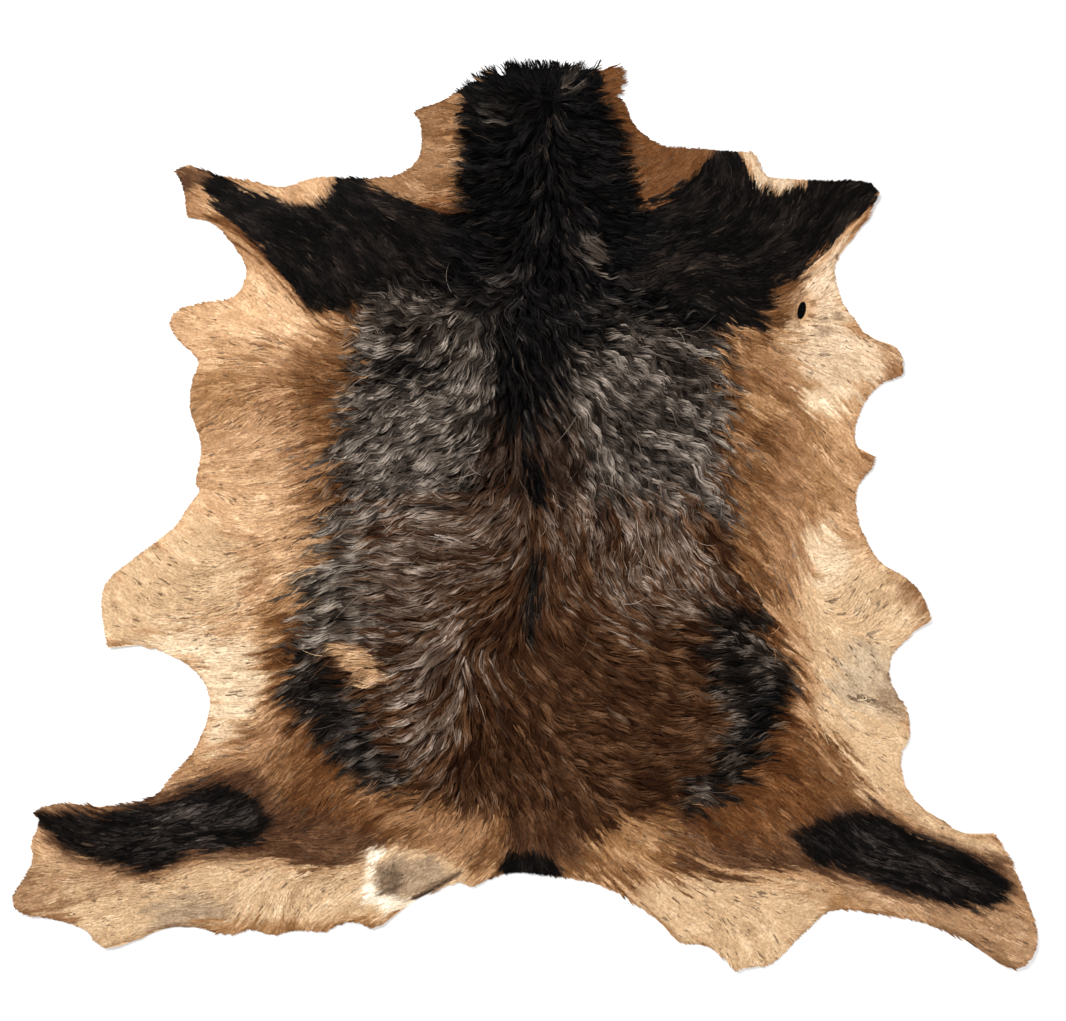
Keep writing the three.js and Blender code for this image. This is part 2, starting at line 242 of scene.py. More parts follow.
# %% Headings of the hair
FLOW_REACH, FLOW_FALL, FLOW_FAR = 36.0, 2.0, 1e-6
FLOW = [
    # neck
    (-95, 396, 178), (-88, 340, 172), (-55, 410, 160), (-45, 366, 174), (-30, 320, 195),
    (-30, 436, 150), (0, 456, 125), (25, 458, 95), (50, 454, 55), (4, 418, 185), (44, 414, 350),
    (2, 380, 196), (22, 385, 250), (42, 378, 335), (2, 326, 205), (22, 335, 262), (42, 326, 320),
    (75, 406, 345), (85, 366, 8), (75, 326, 352), (95, 430, 10), (125, 346, 30), (165, 351, 40),
    (100, 395, 355),
    # left shoulder and foreleg
    (-125, 328, 160), (-160, 330, 155), (-205, 326, 115), (-235, 322, 130), (-265, 318, 152),
    (-315, 326, 152), (-340, 310, 160), (-265, 285, 148), (-225, 286, 160), (-175, 286, 140),
    (-125, 286, 145), (-75, 291, 165), (-225, 252, 130), (-175, 256, 126), (-125, 256, 130),
    (-85, 256, 150), (-35, 262, 165), (5, 256, 262), (-290, 300, 150), (-275, 245, 138),
    # right shoulder and foreleg
    (60, 262, 330), (45, 290, 285), (95, 285, 350), (150, 300, 20), (190, 310, 40), (150, 258, 12),
    (215, 320, 75), (255, 318, 60), (230, 285, 45), (280, 300, 50), (335, 316, 40), (300, 275, 55),
    (185, 256, 0), (245, 256, 12), (280, 240, 35), (270, 332, 100), (200, 345, 120),
    # left armpit and upper flank
    (-265, 226, 140), (-325, 196, 150), (-235, 196, 135), (-345, 190, 165), (-225, 226, 128),
    (-175, 220, 133), (-320, 165, 180), (-265, 166, 165), (-205, 166, 158), (-320, 135, 190),
    (-265, 136, 182), (-230, 136, 168), (-325, 100, 205), (-265, 104, 215), (-230, 104, 205),
    (-200, 100, 185), (-300, 70, 205), (-235, 70, 198),
    # back, left of the spine
    (-145, 222, 142), (-105, 222, 135), (-65, 226, 150), (-25, 226, 140), (-145, 192, 165),
    (-85, 190, 222), (-25, 190, 285), (-145, 160, 182), (-110, 160, 200), (-70, 160, 232),
    (-40, 155, 250), (-175, 130, 180), (-115, 130, 190), (-80, 130, 200), (-50, 130, 222),
    (-20, 120, 265), (-145, 100, 190), (-85, 100, 196), (-50, 100, 225), (-22, 90, 248),
    (-170, 70, 202), (-115, 70, 214), (-55, 70, 230), (-180, 40, 208), (-140, 40, 184), (-90, 40, 188),
    (-50, 42, 215), (-20, 40, 250),
    # back, right of the spine
    (10, 200, 300), (35, 226, 278), (65, 222, 285), (95, 222, 5), (155, 222, 20), (185, 222, 330),
    (215, 222, 345), (250, 226, 20), (65, 190, 325), (95, 192, 350), (155, 192, 345), (215, 192, 325),
    (35, 160, 305), (95, 160, 325), (155, 160, 340), (210, 160, 326), (5, 150, 285), (65, 130, 315),
    (125, 130, 310), (160, 130, 312), (35, 100, 300), (95, 100, 328), (155, 100, 330), (65, 72, 298),
    (125, 72, 328), (170, 75, 320), (5, 70, 290), (65, 44, 278), (95, 40, 290), (125, 42, 315),
    (185, 40, 316),
    # left side of the saddle
    (-175, 14, 206), (-115, 12, 186), (-55, 14, 188), (-20, 12, 225), (-145, -15, 200), (-85, -15, 182),
    (-25, -16, 205), (-180, -45, 185), (-115, -45, 178), (-60, -45, 194), (-25, -45, 200),
    (-205, -75, 202), (-145, -76, 172), (-85, -75, 190), (-30, -75, 208), (-180, -105, 188),
    (-115, -105, 188), (-55, -106, 210), (-20, -105, 218), (-215, -132, 192), (-145, -135, 175),
    (-105, -136, 222), (-80, -140, 238), (-205, -165, 190), (-140, -165, 212), (-90, -165, 226),
    (-55, -165, 300), (-175, -195, 185), (-115, -195, 190), (-75, -195, 222), (-48, -198, 290),
    (-200, -225, 222), (-150, -225, 200), (-110, -225, 228), (-55, -225, 240), (-30, -225, 300),
    (-140, -255, 186), (-85, -255, 200), (-50, -258, 275), (-25, -255, 300),
    # right side of the saddle
    (10, 5, 295), (35, 15, 318), (95, 15, 312), (155, 15, 315), (215, 15, 316), (35, -15, 275),
    (65, -16, 262), (125, -14, 275), (155, -15, 304), (215, -15, 312), (8, -45, 262), (35, -45, 274),
    (95, -45, 265), (155, -45, 302), (215, -46, 310), (8, -78, 270), (65, -75, 304), (125, -75, 314),
    (185, -75, 310), (245, -76, 310), (10, -105, 285), (65, -104, 328), (125, -105, 330),
    (185, -105, 345), (245, -106, 326), (35, -135, 316), (95, -135, 338), (185, -135, 348),
    (215, -135, 0), (255, -135, 330), (5, -165, 310), (65, -165, 332), (125, -165, 335),
    (185, -165, 354), (245, -165, 4), (5, -195, 300), (65, -195, 336), (155, -195, 346),
    (215, -195, 12), (255, -200, 20), (5, -228, 308), (65, -225, 340), (125, -225, 338), (185, -225, 8),
    (245, -225, 28), (8, -256, 295), (65, -255, 318), (125, -255, 345), (185, -255, 8), (215, -256, 20),
    # left flank, lobe and groin
    (-300, 45, 180), (-240, 40, 196), (-295, 12, 150), (-240, 14, 196), (-325, -15, 145),
    (-265, -15, 188), (-215, -15, 200), (-370, -45, 135), (-325, -45, 158), (-275, -45, 198),
    (-240, -46, 198), (-415, -75, 135), (-385, -75, 122), (-345, -75, 175), (-300, -75, 210),
    (-240, -75, 200), (-410, -110, 160), (-370, -105, 175), (-325, -105, 200), (-265, -105, 190),
    (-355, -134, 185), (-295, -135, 180), (-240, -135, 195), (-295, -165, 180), (-235, -168, 208),
    (-295, -195, 172), (-240, -195, 214), (-290, -225, 182), (-235, -225, 220),
    # right flank, lobes and groin
    (305, 226, 30), (310, 195, 350), (275, 165, 0), (305, 165, 336), (360, 160, 326), (245, 135, 325),
    (275, 135, 325), (330, 135, 310), (245, 105, 330), (300, 104, 310), (240, 72, 325), (305, 75, 306),
    (340, 55, 315), (245, 45, 322), (305, 45, 312), (250, 15, 318), (310, 15, 325), (275, -15, 290),
    (310, -15, 320), (240, -45, 312), (275, -45, 275), (310, -50, 35), (345, -48, 25), (275, -78, 255),
    (305, -78, 50), (335, -75, 70), (370, -76, 45), (275, -105, 310), (305, -105, 300), (335, -105, 70),
    (370, -105, 55), (398, -104, 40), (275, -135, 318), (305, -135, 302), (345, -135, 288),
    (275, -165, 290), (305, -165, 325), (340, -165, 325), (280, -195, 292), (340, -195, 345),
    (275, -225, 310), (305, -225, 306), (350, -225, 330), (275, -255, 320), (305, -255, 306),
    (345, -260, 316),
    # rump and tail
    (-180, -255, 208), (-235, -255, 226), (-205, -285, 240), (-165, -285, 222), (-125, -285, 190),
    (-85, -285, 224), (-50, -285, 272), (-25, -285, 300), (8, -285, 288), (35, -285, 308),
    (65, -285, 302), (95, -285, 330), (155, -285, 355), (195, -285, 322), (245, -285, 316),
    (305, -285, 315), (-170, -315, 198), (-130, -315, 218), (-85, -315, 220), (-40, -315, 230),
    (5, -320, 283), (35, -315, 308), (75, -315, 312), (125, -315, 332), (185, -315, 315),
    (245, -315, 312), (-145, -345, 220), (-90, -345, 205), (-30, -345, 218), (8, -348, 270),
    (40, -345, 315), (95, -345, 312), (155, -344, 338),
    # left hind leg
    (-300, -255, 205), (-265, -255, 218), (-355, -284, 192), (-325, -284, 200), (-290, -285, 205),
    (-260, -285, 226), (-475, -310, 150), (-445, -315, 148), (-415, -315, 172), (-355, -314, 185),
    (-300, -315, 184), (-250, -315, 176), (-205, -320, 178), (-475, -345, 185), (-415, -345, 190),
    (-355, -345, 190), (-295, -345, 176), (-235, -345, 168), (-185, -345, 176), (-490, -375, 190),
    (-415, -375, 194), (-325, -375, 194), (-262, -375, 230), (-235, -378, 262), (-180, -376, 200),
    (-120, -372, 205), (-445, -402, 195), (-385, -405, 192), (-325, -402, 182), (-265, -402, 226),
    (-235, -402, 280), (-205, -402, 216), (-155, -395, 205),
    # right hind leg
    (345, -285, 322), (385, -290, 326), (305, -315, 312), (365, -315, 328), (420, -320, 336),
    (460, -330, 320), (215, -345, 350), (245, -345, 345), (305, -345, 330), (365, -345, 352),
    (425, -345, 345), (470, -350, 335), (125, -374, 315), (165, -374, 336), (215, -374, 2),
    (275, -374, 350), (335, -374, 340), (395, -375, 328), (455, -375, 340), (490, -385, 332),
    (155, -405, 320), (185, -404, 318), (215, -404, 310), (245, -405, 306), (275, -402, 5),
    (425, -402, 326), (465, -405, 326), (490, -420, 334), (215, -435, 290), (245, -434, 310),
    (485, -438, 334),
]
flow_rows = np.array(FLOW, float)
flow_east = np.cos(np.radians(flow_rows[:, 2]))
flow_north = np.sin(np.radians(flow_rows[:, 2]))


def headings(points):
    """The hair's heading in radians: the mean direction of the rows around each point."""
    east, north = np.zeros(len(points)), np.zeros(len(points))
    for (x, y, _), e, n in zip(FLOW, flow_east, flow_north, strict=True):
        away = ((points[:, 0] - x) ** 2 + (points[:, 1] - y) ** 2) / FLOW_REACH**2
        weight = np.exp(-FLOW_FALL * away) + FLOW_FAR / (1 + away)
        east += weight * e
        north += weight * n
    return np.arctan2(north, east)


cells = np.stack(np.meshgrid(grid_x, grid_y, indexing="ij"), axis=-1).reshape(-1, 2)
cell_headings = headings(cells)
flow_x = np.cos(cell_headings).reshape(grid_size)
flow_y = np.sin(cell_headings).reshape(grid_size)


def flow_at(points):
    """The way the hair runs at each point, as a share to the right and a share to the neck."""
    return np.stack([sample(flow_x, points), sample(flow_y, points)], axis=1)


print("headings noted at", len(FLOW), "places")

# %% [markdown]
# ### Distance down the coat
# Waves run on from lock to lock only where all locks count them from the same place. So the headings
# are turned into one distance down the coat, as if water ran along the hair. Streaks, such as those of
# darker and lighter hair, are noise that is drawn out along the same flow.

# %% Distance down the coat
STREAK_GAIN = 1.5


def downstream_distance():
    """How far down the flow each grid place lies, in millimetres; its slope follows the headings.

    The flow's divergence is solved for this distance with a Fourier transform of the whole grid.
    """
    source = np.gradient(flow_x, GRID_STEP, axis=0) + np.gradient(flow_y, GRID_STEP, axis=1)
    turn_x = 2 * np.pi * np.fft.fftfreq(grid_size[0], GRID_STEP)[:, None]
    turn_y = 2 * np.pi * np.fft.fftfreq(grid_size[1], GRID_STEP)[None, :]
    stiffness = -(turn_x**2 + turn_y**2)
    stiffness[0, 0] = 1
    spectrum = np.fft.fft2(source) / stiffness
    spectrum[0, 0] = 0
    return np.real(np.fft.ifft2(spectrum))


downstream = downstream_distance()


def streaks(points, width, reach, seed):
    """Noise drawn out along the flow, about -1 to 1: streaks of this width and reach."""
    total = soft_noise(points, width, seed)
    steps = max(1, round(reach / width))
    for way in (1, -1):
        at = points.copy()
        for _ in range(steps):
            at = at + way * width * flow_at(at)
            total = total + soft_noise(at, width, seed)
    return total / np.sqrt(2 * steps + 1) * STREAK_GAIN


print("the coat runs", round(float(np.ptp(downstream))), "mm downstream")

# %% [markdown]
# ## How long and how wavy the coat is
# Each row is a zone of the coat: how softly it fades, the hair's length, the steepest turn of its waves
# in degrees, the length of one wave, how far a lock closes at its tip, how strong the painted highlight
# on its wave crests is, and a ring of points. Lengths are in millimetres. Later rows lie over earlier ones.

# %% Zones of the coat
# The last column is the strength of the painted highlight on the wave crests.
COAT_COLUMNS = ("length", "bend", "pitch", "clump", "glint")
SHORT_COAT = (20.0, 8.0, 24.0, 0.1, 0.10)
COAT_ZONES = [
    # shoulders
    (22, (24.0, 12.0, 24.0, 0.2, 0.12), [
        (-340, 345), (-60, 330), (116, 310), (240, 350), (355, 335), (275, 200), (200, 180), (0, 200),
        (-190, 195), (-300, 300),
    ]),
    # tan hair beside the saddle
    (16, (25.0, 13.0, 21.0, 0.2, 0.16), [
        (-260, 190), (-180, 190), (-190, -280), (-300, -250), (-260, -100), (-290, 60),
    ]),
    (16, (25.0, 12.0, 21.0, 0.2, 0.15), [
        (205, 180), (270, 170), (300, 0), (270, -120), (290, -250), (215, -300),
    ]),
    # neck mane
    (12, (30.0, 22.0, 22.0, 0.48, 0.1), [
        (-72, 440), (-60, 456), (95, 456), (100, 380), (118, 300), (60, 250), (-40, 250), (-72, 300),
    ]),
    # saddle
    (10, (38.0, 20.0, 31.0, 0.6, 0.34), [
        (-190, 20), (196, 40), (208, -44), (230, -84), (244, -120), (262, -160), (250, -215),
        (214, -264), (165, -290), (15, -296), (-125, -284), (-184, -236), (-214, -200), (-226, -150),
        (-222, -104), (-205, -44),
    ]),
    # waved back
    (14, (44.0, 34.0, 26.0, 0.64, 0.33), [
        (-166, 205), (-105, 236), (-30, 258), (70, 256), (130, 218), (198, 186), (202, 116), (196, 20),
        (115, 10), (-25, 25), (-95, 14), (-178, 2), (-190, 36), (-182, 86), (-168, 146),
    ]),
    # along the spine the hair lies straighter
    (10, (34.0, 14.0, 26.0, 0.55, 0.15), [
        (-8, 200), (30, 200), (42, 110), (22, 30), (20, -130), (4, -130), (-8, 30), (-24, 110),
    ]),
    # rump
    (14, (25.0, 13.0, 22.0, 0.26, 0.16), [
        (-225, -262), (-125, -292), (165, -305), (265, -240), (300, -300), (215, -360), (30, -356),
        (-90, -340), (-240, -340),
    ]),
    # dark stripes of the hind legs
    (8, (22.0, 9.0, 24.0, 0.2, 0.1), [
        (-485, -296), (-370, -300), (-270, -258), (-225, -320), (-365, -352), (-455, -335),
    ]),
    (8, (23.0, 9.0, 24.0, 0.2, 0.1), [
        (265, -319), (345, -290), (493, -370), (487, -388), (375, -374), (285, -350),
    ]),
    # short hair of the outer legs, lobes and groins
    (14, (16.0, 9.0, 19.0, 0.08, 0.1), [
        (-512, -345), (-160, -345), (-130, -410), (-420, -435), (-515, -395),
    ]),
    (14, (16.0, 9.0, 19.0, 0.08, 0.1), [
        (120, -365), (290, -375), (300, -400), (210, -456), (120, -420),
    ]),
    (14, (16.0, 10.0, 19.0, 0.08, 0.1), [
        (275, -20), (380, -60), (410, -110), (365, -160), (385, -230), (330, -240), (275, -170),
    ]),
    (14, (16.0, 10.0, 19.0, 0.08, 0.1), [
        (-430, -40), (-310, -30), (-290, -110), (-320, -230), (-425, -135),
    ]),
    (14, (15.0, 8.0, 19.0, 0.08, 0.1), [
        (280, 225), (320, 260), (325, 190), (380, 165), (378, 130), (280, 140),
    ]),
    # thin hair
    (6, (7.0, 4.0, 16.0, 0.2, 0.0), [
        (-148, -342), (-88, -338), (-76, -360), (-105, -378), (-140, -384),
    ]),
    (9, (9.0, 6.0, 16.0, 0.3, 0.0), [(308, -128), (362, -122), (378, -186), (370, -205), (322, -200)]),
]


def cover(points, ring, softness, shift=0.0):
    """How much of a zone each point takes, from 0 to 1; shift moves its edge outwards point by point."""
    distance, _, inside = ring_distance(points, np.array(ring, float))
    signed = np.where(inside, distance, -distance)
    return smooth_step(signed + shift, -softness, softness)


def coat_at(points):
    """The coat's length, bend, pitch, clumping and the strength of its painted crest highlight at each
    point.
    """
    found = np.tile(np.array(SHORT_COAT), (len(points), 1))
    for softness, values, ring in COAT_ZONES:
        share = cover(points, ring, softness)[:, None]
        found = found * (1 - share) + np.array(values) * share
    return dict(zip(COAT_COLUMNS, found.T, strict=True))


# %% [markdown]
# ## Colours of the coat
# Goat hair is never one colour: each patch has dark hairs, middle ones and light ones that catch the
# eye. So a finish holds three colours, given as 0 to 255 in screen values. The patches are rings laid
# over each other like the coat zones. Where two patches meet, whole streaks of hair go to one side or
# the other, as the hair of one patch falls over the next; pale patches blend softly instead. A strand
# passes from the colours of a place near its root to those of a place near its tip.

# %% Finishes of the hair
FINISHES = {
    "black": ((1, 1, 1), (5, 4, 4), (34, 31, 30)),
    "shoulder black": ((1, 1, 1), (9, 7, 6), (46, 37, 33)),
    "back black": ((3, 2, 2), (18, 15, 13), (80, 72, 64)),
    "soot": ((4, 3, 2), (26, 21, 18), (92, 82, 74)),
    # A painted sheen on black hair: lighter than the black finishes, for the highlights on its locks.
    "sheen": ((6, 4, 4), (36, 31, 29), (92, 84, 78)),
    "curl": ((8, 6, 5), (50, 43, 37), (142, 130, 116)),
    "grey back": ((18, 13, 10), (70, 61, 54), (156, 143, 131)),
    "brown spine": ((18, 8, 3), (44, 30, 22), (92, 78, 68)),
    # Grey hair with painted glints: partly the hair's own grey, partly painted highlight.
    "silver and glint": ((46, 31, 22), (98, 81, 69), (176, 160, 148)),
    "chestnut": ((29, 12, 4), (57, 34, 18), (101, 71, 49)),
    "hip black": ((3, 2, 1), (24, 18, 14), (116, 104, 94)),
    "hip grey": ((28, 20, 15), (76, 65, 56), (154, 142, 130)),
    "rust": ((51, 25, 9), (89, 54, 28), (135, 93, 59)),
    "leg brown": ((40, 22, 12), (74, 48, 31), (122, 88, 62)),
    "rump": ((58, 31, 12), (102, 67, 39), (162, 123, 87)),
    "neck tan": ((93, 60, 33), (131, 95, 64), (182, 144, 110)),
    "wedge": ((76, 42, 17), (99, 63, 36), (130, 93, 62)),
    "brown tan": ((98, 64, 36), (138, 99, 67), (190, 147, 109)),
    "tan": ((119, 81, 50), (170, 130, 93), (228, 190, 150)),
    "gold": ((100, 65, 35), (150, 110, 73), (206, 168, 130)),
    "mid tan": ((126, 90, 58), (167, 127, 91), (213, 175, 137)),
    "light tan": ((144, 106, 73), (191, 151, 112), (235, 200, 161)),
    "dusty tan": ((106, 75, 50), (156, 120, 87), (208, 173, 139)),
    "cream": ((158, 126, 93), (192, 159, 122), (231, 201, 165)),
    "lobe cream": ((164, 135, 105), (202, 174, 143), (237, 214, 186)),
    "pale": ((177, 148, 115), (211, 184, 151), (243, 222, 190)),
    "bright edge": ((206, 186, 158), (238, 222, 198), (253, 245, 230)),
    "thin grey": ((114, 89, 67), (155, 130, 104), (194, 169, 141)),
    "thin dark": ((60, 45, 33), (98, 79, 62), (142, 120, 98)),
    "flank grey": ((142, 117, 89), (176, 153, 125), (216, 194, 165)),
    "tip brown": ((44, 27, 18), (86, 58, 39), (136, 101, 73)),
}

# %% Patches of colour
# Each row: finish, softness, raggedness, how far whole streaks take a side (0 blends, 1 parts), ring.
# A finish that is only strewn over another has its share of the hair in THIN.
# Strewn finishes: the sheen rows paint a sheen over black hair, and the rows of grey hair over the chestnut
# carry painted glints.
THIN = {"silver and glint": 0.62, "soot": 0.34, "sheen": 0.55}
PATCHES = [
    ("light tan", 22, 8, 0, [
        (-278, 250), (-225, 226), (-190, 190), (-180, 160), (-205, 146), (-275, 130), (-325, 140),
        (-355, 190), (-325, 215), (-290, 222),
    ]),
    ("gold", 16, 10, 0.3, [(-330, 150), (-265, 158), (-262, 90), (-285, 72), (-330, 84)]),
    ("brown tan", 18, 12, 0.4, [
        (-272, 160), (-175, 186), (-175, 110), (-190, 66), (-240, 66), (-280, 95),
    ]),
    ("light tan", 22, 10, 0.2, [
        (-335, 60), (-285, 70), (-225, 36), (-225, -24), (-215, -104), (-240, -184), (-285, -124),
        (-365, -24),
    ]),
    ("mid tan", 18, 12, 0.2, [(-312, 96), (-226, 90), (-222, 40), (-262, 34), (-300, 48)]),
    ("brown tan", 12, 8, 0.3, [(-236, 72), (-200, 72), (-200, 0), (-230, 5)]),
    ("gold", 13, 9, 0.3, [
        (-262, -60), (-222, -56), (-220, -120), (-235, -190), (-268, -172), (-274, -110),
    ]),
    ("brown tan", 9, 7, 0.3, [(-288, -48), (-258, -50), (-256, -76), (-284, -80)]),
    ("cream", 16, 10, 0.2, [
        (-430, -140), (-430, -80), (-410, -50), (-365, -22), (-310, -4), (-275, -44), (-280, -104),
        (-335, -104), (-375, -124),
    ]),
    ("pale", 14, 8, 0.2, [
        (-405, -140), (-375, -122), (-325, -106), (-280, -119), (-257, -164), (-270, -204),
        (-312, -240), (-318, -184), (-330, -148),
    ]),
    ("brown tan", 18, 10, 0.4, [
        (-330, -262), (-305, -232), (-255, -190), (-228, -184), (-195, -240), (-235, -270),
        (-300, -282),
    ]),
    ("cream", 14, 8, 0.2, [
        (-505, -340), (-455, -340), (-415, -360), (-365, -360), (-310, -340), (-225, -346),
        (-160, -342), (-130, -374), (-140, -412), (-320, -425), (-430, -440), (-520, -392),
    ]),
    ("gold", 16, 10, 0.3, [
        (212, 180), (266, 176), (290, 116), (306, 46), (306, -24), (270, -64), (228, -44), (214, 16),
        (212, 96),
    ]),
    ("lobe cream", 14, 10, 0.2, [
        (262, 206), (288, 252), (306, 272), (318, 270), (316, 216), (341, 180), (385, 170), (385, 135),
        (345, 126), (305, 121), (278, 136), (262, 166), (256, 186),
    ]),
    ("cream", 13, 9, 0.2, [
        (286, -29), (300, -16), (330, -39), (380, -58), (415, -104), (372, -134), (385, -204),
        (388, -274), (440, -314), (472, -319), (465, -336), (415, -336), (375, -299), (325, -274),
        (300, -224), (286, -174), (276, -124), (278, -74),
    ]),
    ("flank grey", 12, 8, 0, [
        (308, -128), (360, -124), (378, -184), (370, -200), (322, -196), (308, -174),
    ]),
    ("cream", 12, 9, 0.2, [
        (108, -369), (175, -358), (235, -362), (290, -372), (325, -398), (275, -430), (225, -462),
        (165, -436), (120, -412),
    ]),
    ("dusty tan", 10, 8, 0.2, [
        (325, -364), (375, -382), (435, -398), (495, -390), (520, -425), (480, -468), (430, -440),
        (375, -408), (300, -402),
    ]),
    ("gold", 6, 5, 0.2, [
        (310, -374), (375, -400), (430, -430), (470, -454), (470, -462), (420, -442), (360, -410),
        (300, -392),
    ]),
    ("rump", 14, 12, 0.6, [
        (-225, -225), (-185, -224), (-125, -244), (-55, -239), (15, -234), (95, -244), (165, -256),
        (220, -246), (262, -200), (304, -226), (346, -284), (350, -330), (285, -340), (225, -352),
        (155, -360), (95, -366), (35, -358), (-45, -352), (-75, -336), (-125, -332), (-180, -342),
        (-235, -338), (-262, -284),
    ]),
    ("leg brown", 10, 9, 0.4, [
        (-14, -290), (80, -296), (72, -326), (44, -342), (30, -352), (-16, -352), (-24, -330),
    ]),
    ("brown tan", 10, 8, 0.3, [
        (-112, -290), (-70, -286), (-32, -298), (-24, -326), (-60, -342), (-106, -334),
    ]),
    ("rust", 16, 12, 0.5, [(-235, -262), (-150, -285), (-122, -290), (-150, -328), (-225, -320)]),
    ("brown tan", 6, 10, 0.5, [(-166, -284), (-130, -286), (-98, -302), (-102, -314), (-148, -300)]),
    ("gold", 14, 10, 0.3, [(60, -305), (110, -296), (140, -328), (130, -352), (90, -352), (66, -330)]),
    ("leg brown", 10, 8, 0.4, [
        (146, -284), (206, -280), (240, -312), (262, -330), (270, -348), (215, -356), (155, -348),
    ]),
    ("leg brown", 10, 8, 0.3, [
        (-285, -292), (-235, -290), (-182, -300), (-138, -326), (-146, -350), (-200, -350),
        (-250, -338), (-300, -342),
    ]),
    ("leg brown", 9, 3, 0.2, [
        (-490, -290), (-430, -294), (-365, -278), (-312, -256), (-268, -250), (-240, -282),
        (-228, -318), (-262, -340), (-330, -343), (-372, -362), (-415, -357), (-455, -340),
        (-480, -320),
    ]),
    ("leg brown", 9, 4, 0.2, [
        (244, -308), (300, -288), (345, -285), (390, -309), (440, -328), (480, -346), (490, -368),
        (484, -384), (458, -389), (420, -391), (368, -377), (318, -364), (264, -354),
    ]),
    ("rust", 16, 12, 0.5, [
        (165, -270), (215, -250), (262, -206), (292, -225), (292, -290), (245, -322), (170, -326),
    ]),
    ("rust", 12, 12, 0.5, [
        (-262, -100), (-215, -90), (-170, -180), (-160, -240), (-195, -276), (-225, -240), (-246, -190),
    ]),
    ("neck tan", 4, 3, 1, [
        (-125, 410), (-45, 445), (-50, 400), (-52, 340), (-50, 284), (-100, 292), (-133, 302),
        (-172, 322), (-175, 345), (-120, 350), (-112, 365),
    ]),
    ("wedge", 5, 3, 0.6, [
        (60, 462), (106, 460), (108, 408), (126, 388), (146, 378), (212, 376), (200, 350), (180, 324),
        (145, 294), (96, 294), (90, 350), (80, 380), (66, 405),
    ]),
    ("rust", 5, 5, 0.6, [(-85, 320), (-52, 320), (-50, 280), (-110, 288), (-140, 300), (-110, 314)]),
    ("rust", 5, 5, 0.6, [
        (76, 424), (92, 418), (98, 402), (112, 380), (108, 350), (90, 350), (72, 400),
    ]),
    ("back black", 12, 10, 1, [
        (-190, 250), (-166, 200), (-170, 80), (200, 80), (200, 180), (240, 240), (220, 300),
        (-170, 300),
    ]),
    ("rump", 18, 10, 0.2, [
        (-196, 180), (-165, 190), (-155, 20), (-175, -90), (-216, -96), (-210, -20), (-202, 50),
        (-210, 90), (-232, 118), (-240, 144), (-220, 164),
    ]),
    ("brown tan", 14, 10, 0.2, [
        (228, 168), (258, 158), (282, 120), (286, 60), (284, 8), (282, -44), (262, -74), (236, -60),
        (222, 0), (222, 100),
    ]),
    ("rump", 18, 10, 0.2, [
        (190, 182), (224, 172), (244, 132), (260, 104), (258, 66), (240, 20), (240, -40), (256, -84),
        (240, -100), (195, -40), (185, 60),
    ]),
    ("gold", 7, 8, 0.3, [(222, 118), (240, 120), (252, 108), (242, 98), (224, 102)]),
    ("rust", 10, 8, 0.4, [
        (240, -90), (254, -104), (260, -126), (284, -158), (284, -180), (268, -224), (240, -262),
        (220, -230),
    ]),
    ("chestnut", 9, 9, 1, [
        (-170, 120), (-60, 130), (75, 130), (200, 120), (208, 66), (208, 16), (214, -44), (236, -84),
        (246, -124), (266, -158), (264, -182), (244, -222), (214, -264), (165, -290), (100, -300),
        (72, -318), (15, -322), (-10, -306), (-55, -298), (-112, -278), (-152, -272), (-184, -240),
        (-214, -205), (-228, -154), (-228, -104), (-222, -66), (-205, -34), (-197, 20), (-188, 76),
    ]),
    # Grey hair over the chestnut, partly its own colour and partly painted glints.
    ("silver and glint", 28, 32, 1, [
        (-172, 60), (-60, 60), (60, 60), (178, 50), (182, -16), (180, -56), (120, -56), (20, -46),
        (-40, -86), (-70, -136), (-140, -150), (-190, -130), (-198, -100), (-184, -40),
    ]),
    ("silver and glint", 20, 34, 1, [(110, -40), (190, -36), (214, -92), (170, -108), (80, -100), (40, -70)]),
    ("silver and glint", 18, 34, 1, [
        (-150, -70), (-40, -70), (-50, -170), (-90, -240), (-140, -250), (-150, -160),
    ]),
    ("hip grey", 16, 18, 1, [
        (-200, 20), (-155, 10), (-150, -40), (-166, -70), (-144, -104), (-166, -142), (-222, -136),
        (-224, -72), (-206, -30),
    ]),
    ("curl", 10, 8, 0.7, [(-224, -56), (-198, -62), (-186, -84), (-204, -104), (-220, -96)]),
    ("grey back", 13, 13, 1, [
        (-172, 222), (-105, 236), (75, 214), (196, 190), (202, 116), (196, 36), (204, -4), (115, 8),
        (35, 30), (-25, 29), (-95, 18), (-182, 2), (-195, 36), (-186, 86), (-173, 146),
    ]),
    ("soot", 20, 30, 1, [(60, 200), (195, 190), (200, 60), (195, 6), (110, 10), (50, 50)]),
    ("brown spine", 12, 12, 1, [
        (-34, 120), (0, 140), (44, 112), (60, 60), (50, 14), (0, 12), (-38, 20), (-40, 70),
    ]),
    ("back black", 18, 22, 1, [(-150, 158), (-100, 166), (-58, 150), (-66, 128), (-120, 122)]),
    ("back black", 16, 18, 1, [
        (-176, 262), (-105, 246), (-66, 214), (-38, 162), (-30, 108), (-16, 80), (4, 66), (30, 90),
        (46, 126), (68, 162), (115, 182), (165, 194), (205, 192), (225, 204), (180, 250), (0, 290),
        (-150, 260),
    ]),
    ("hip black", 9, 8, 1, [
        (-236, -122), (-214, -128), (-198, -146), (-168, -176), (-150, -214), (-122, -258),
        (-128, -276), (-160, -270), (-186, -250), (-210, -222), (-236, -186),
    ]),
    ("sheen", 8, 10, 1, [
        (-222, -150), (-196, -160), (-176, -192), (-160, -224), (-140, -246), (-164, -256),
        (-188, -236), (-206, -206), (-220, -180),
    ]),
    ("hip black", 11, 9, 1, [
        (180, -84), (215, -90), (236, -104), (246, -126), (266, -150), (272, -170), (254, -196),
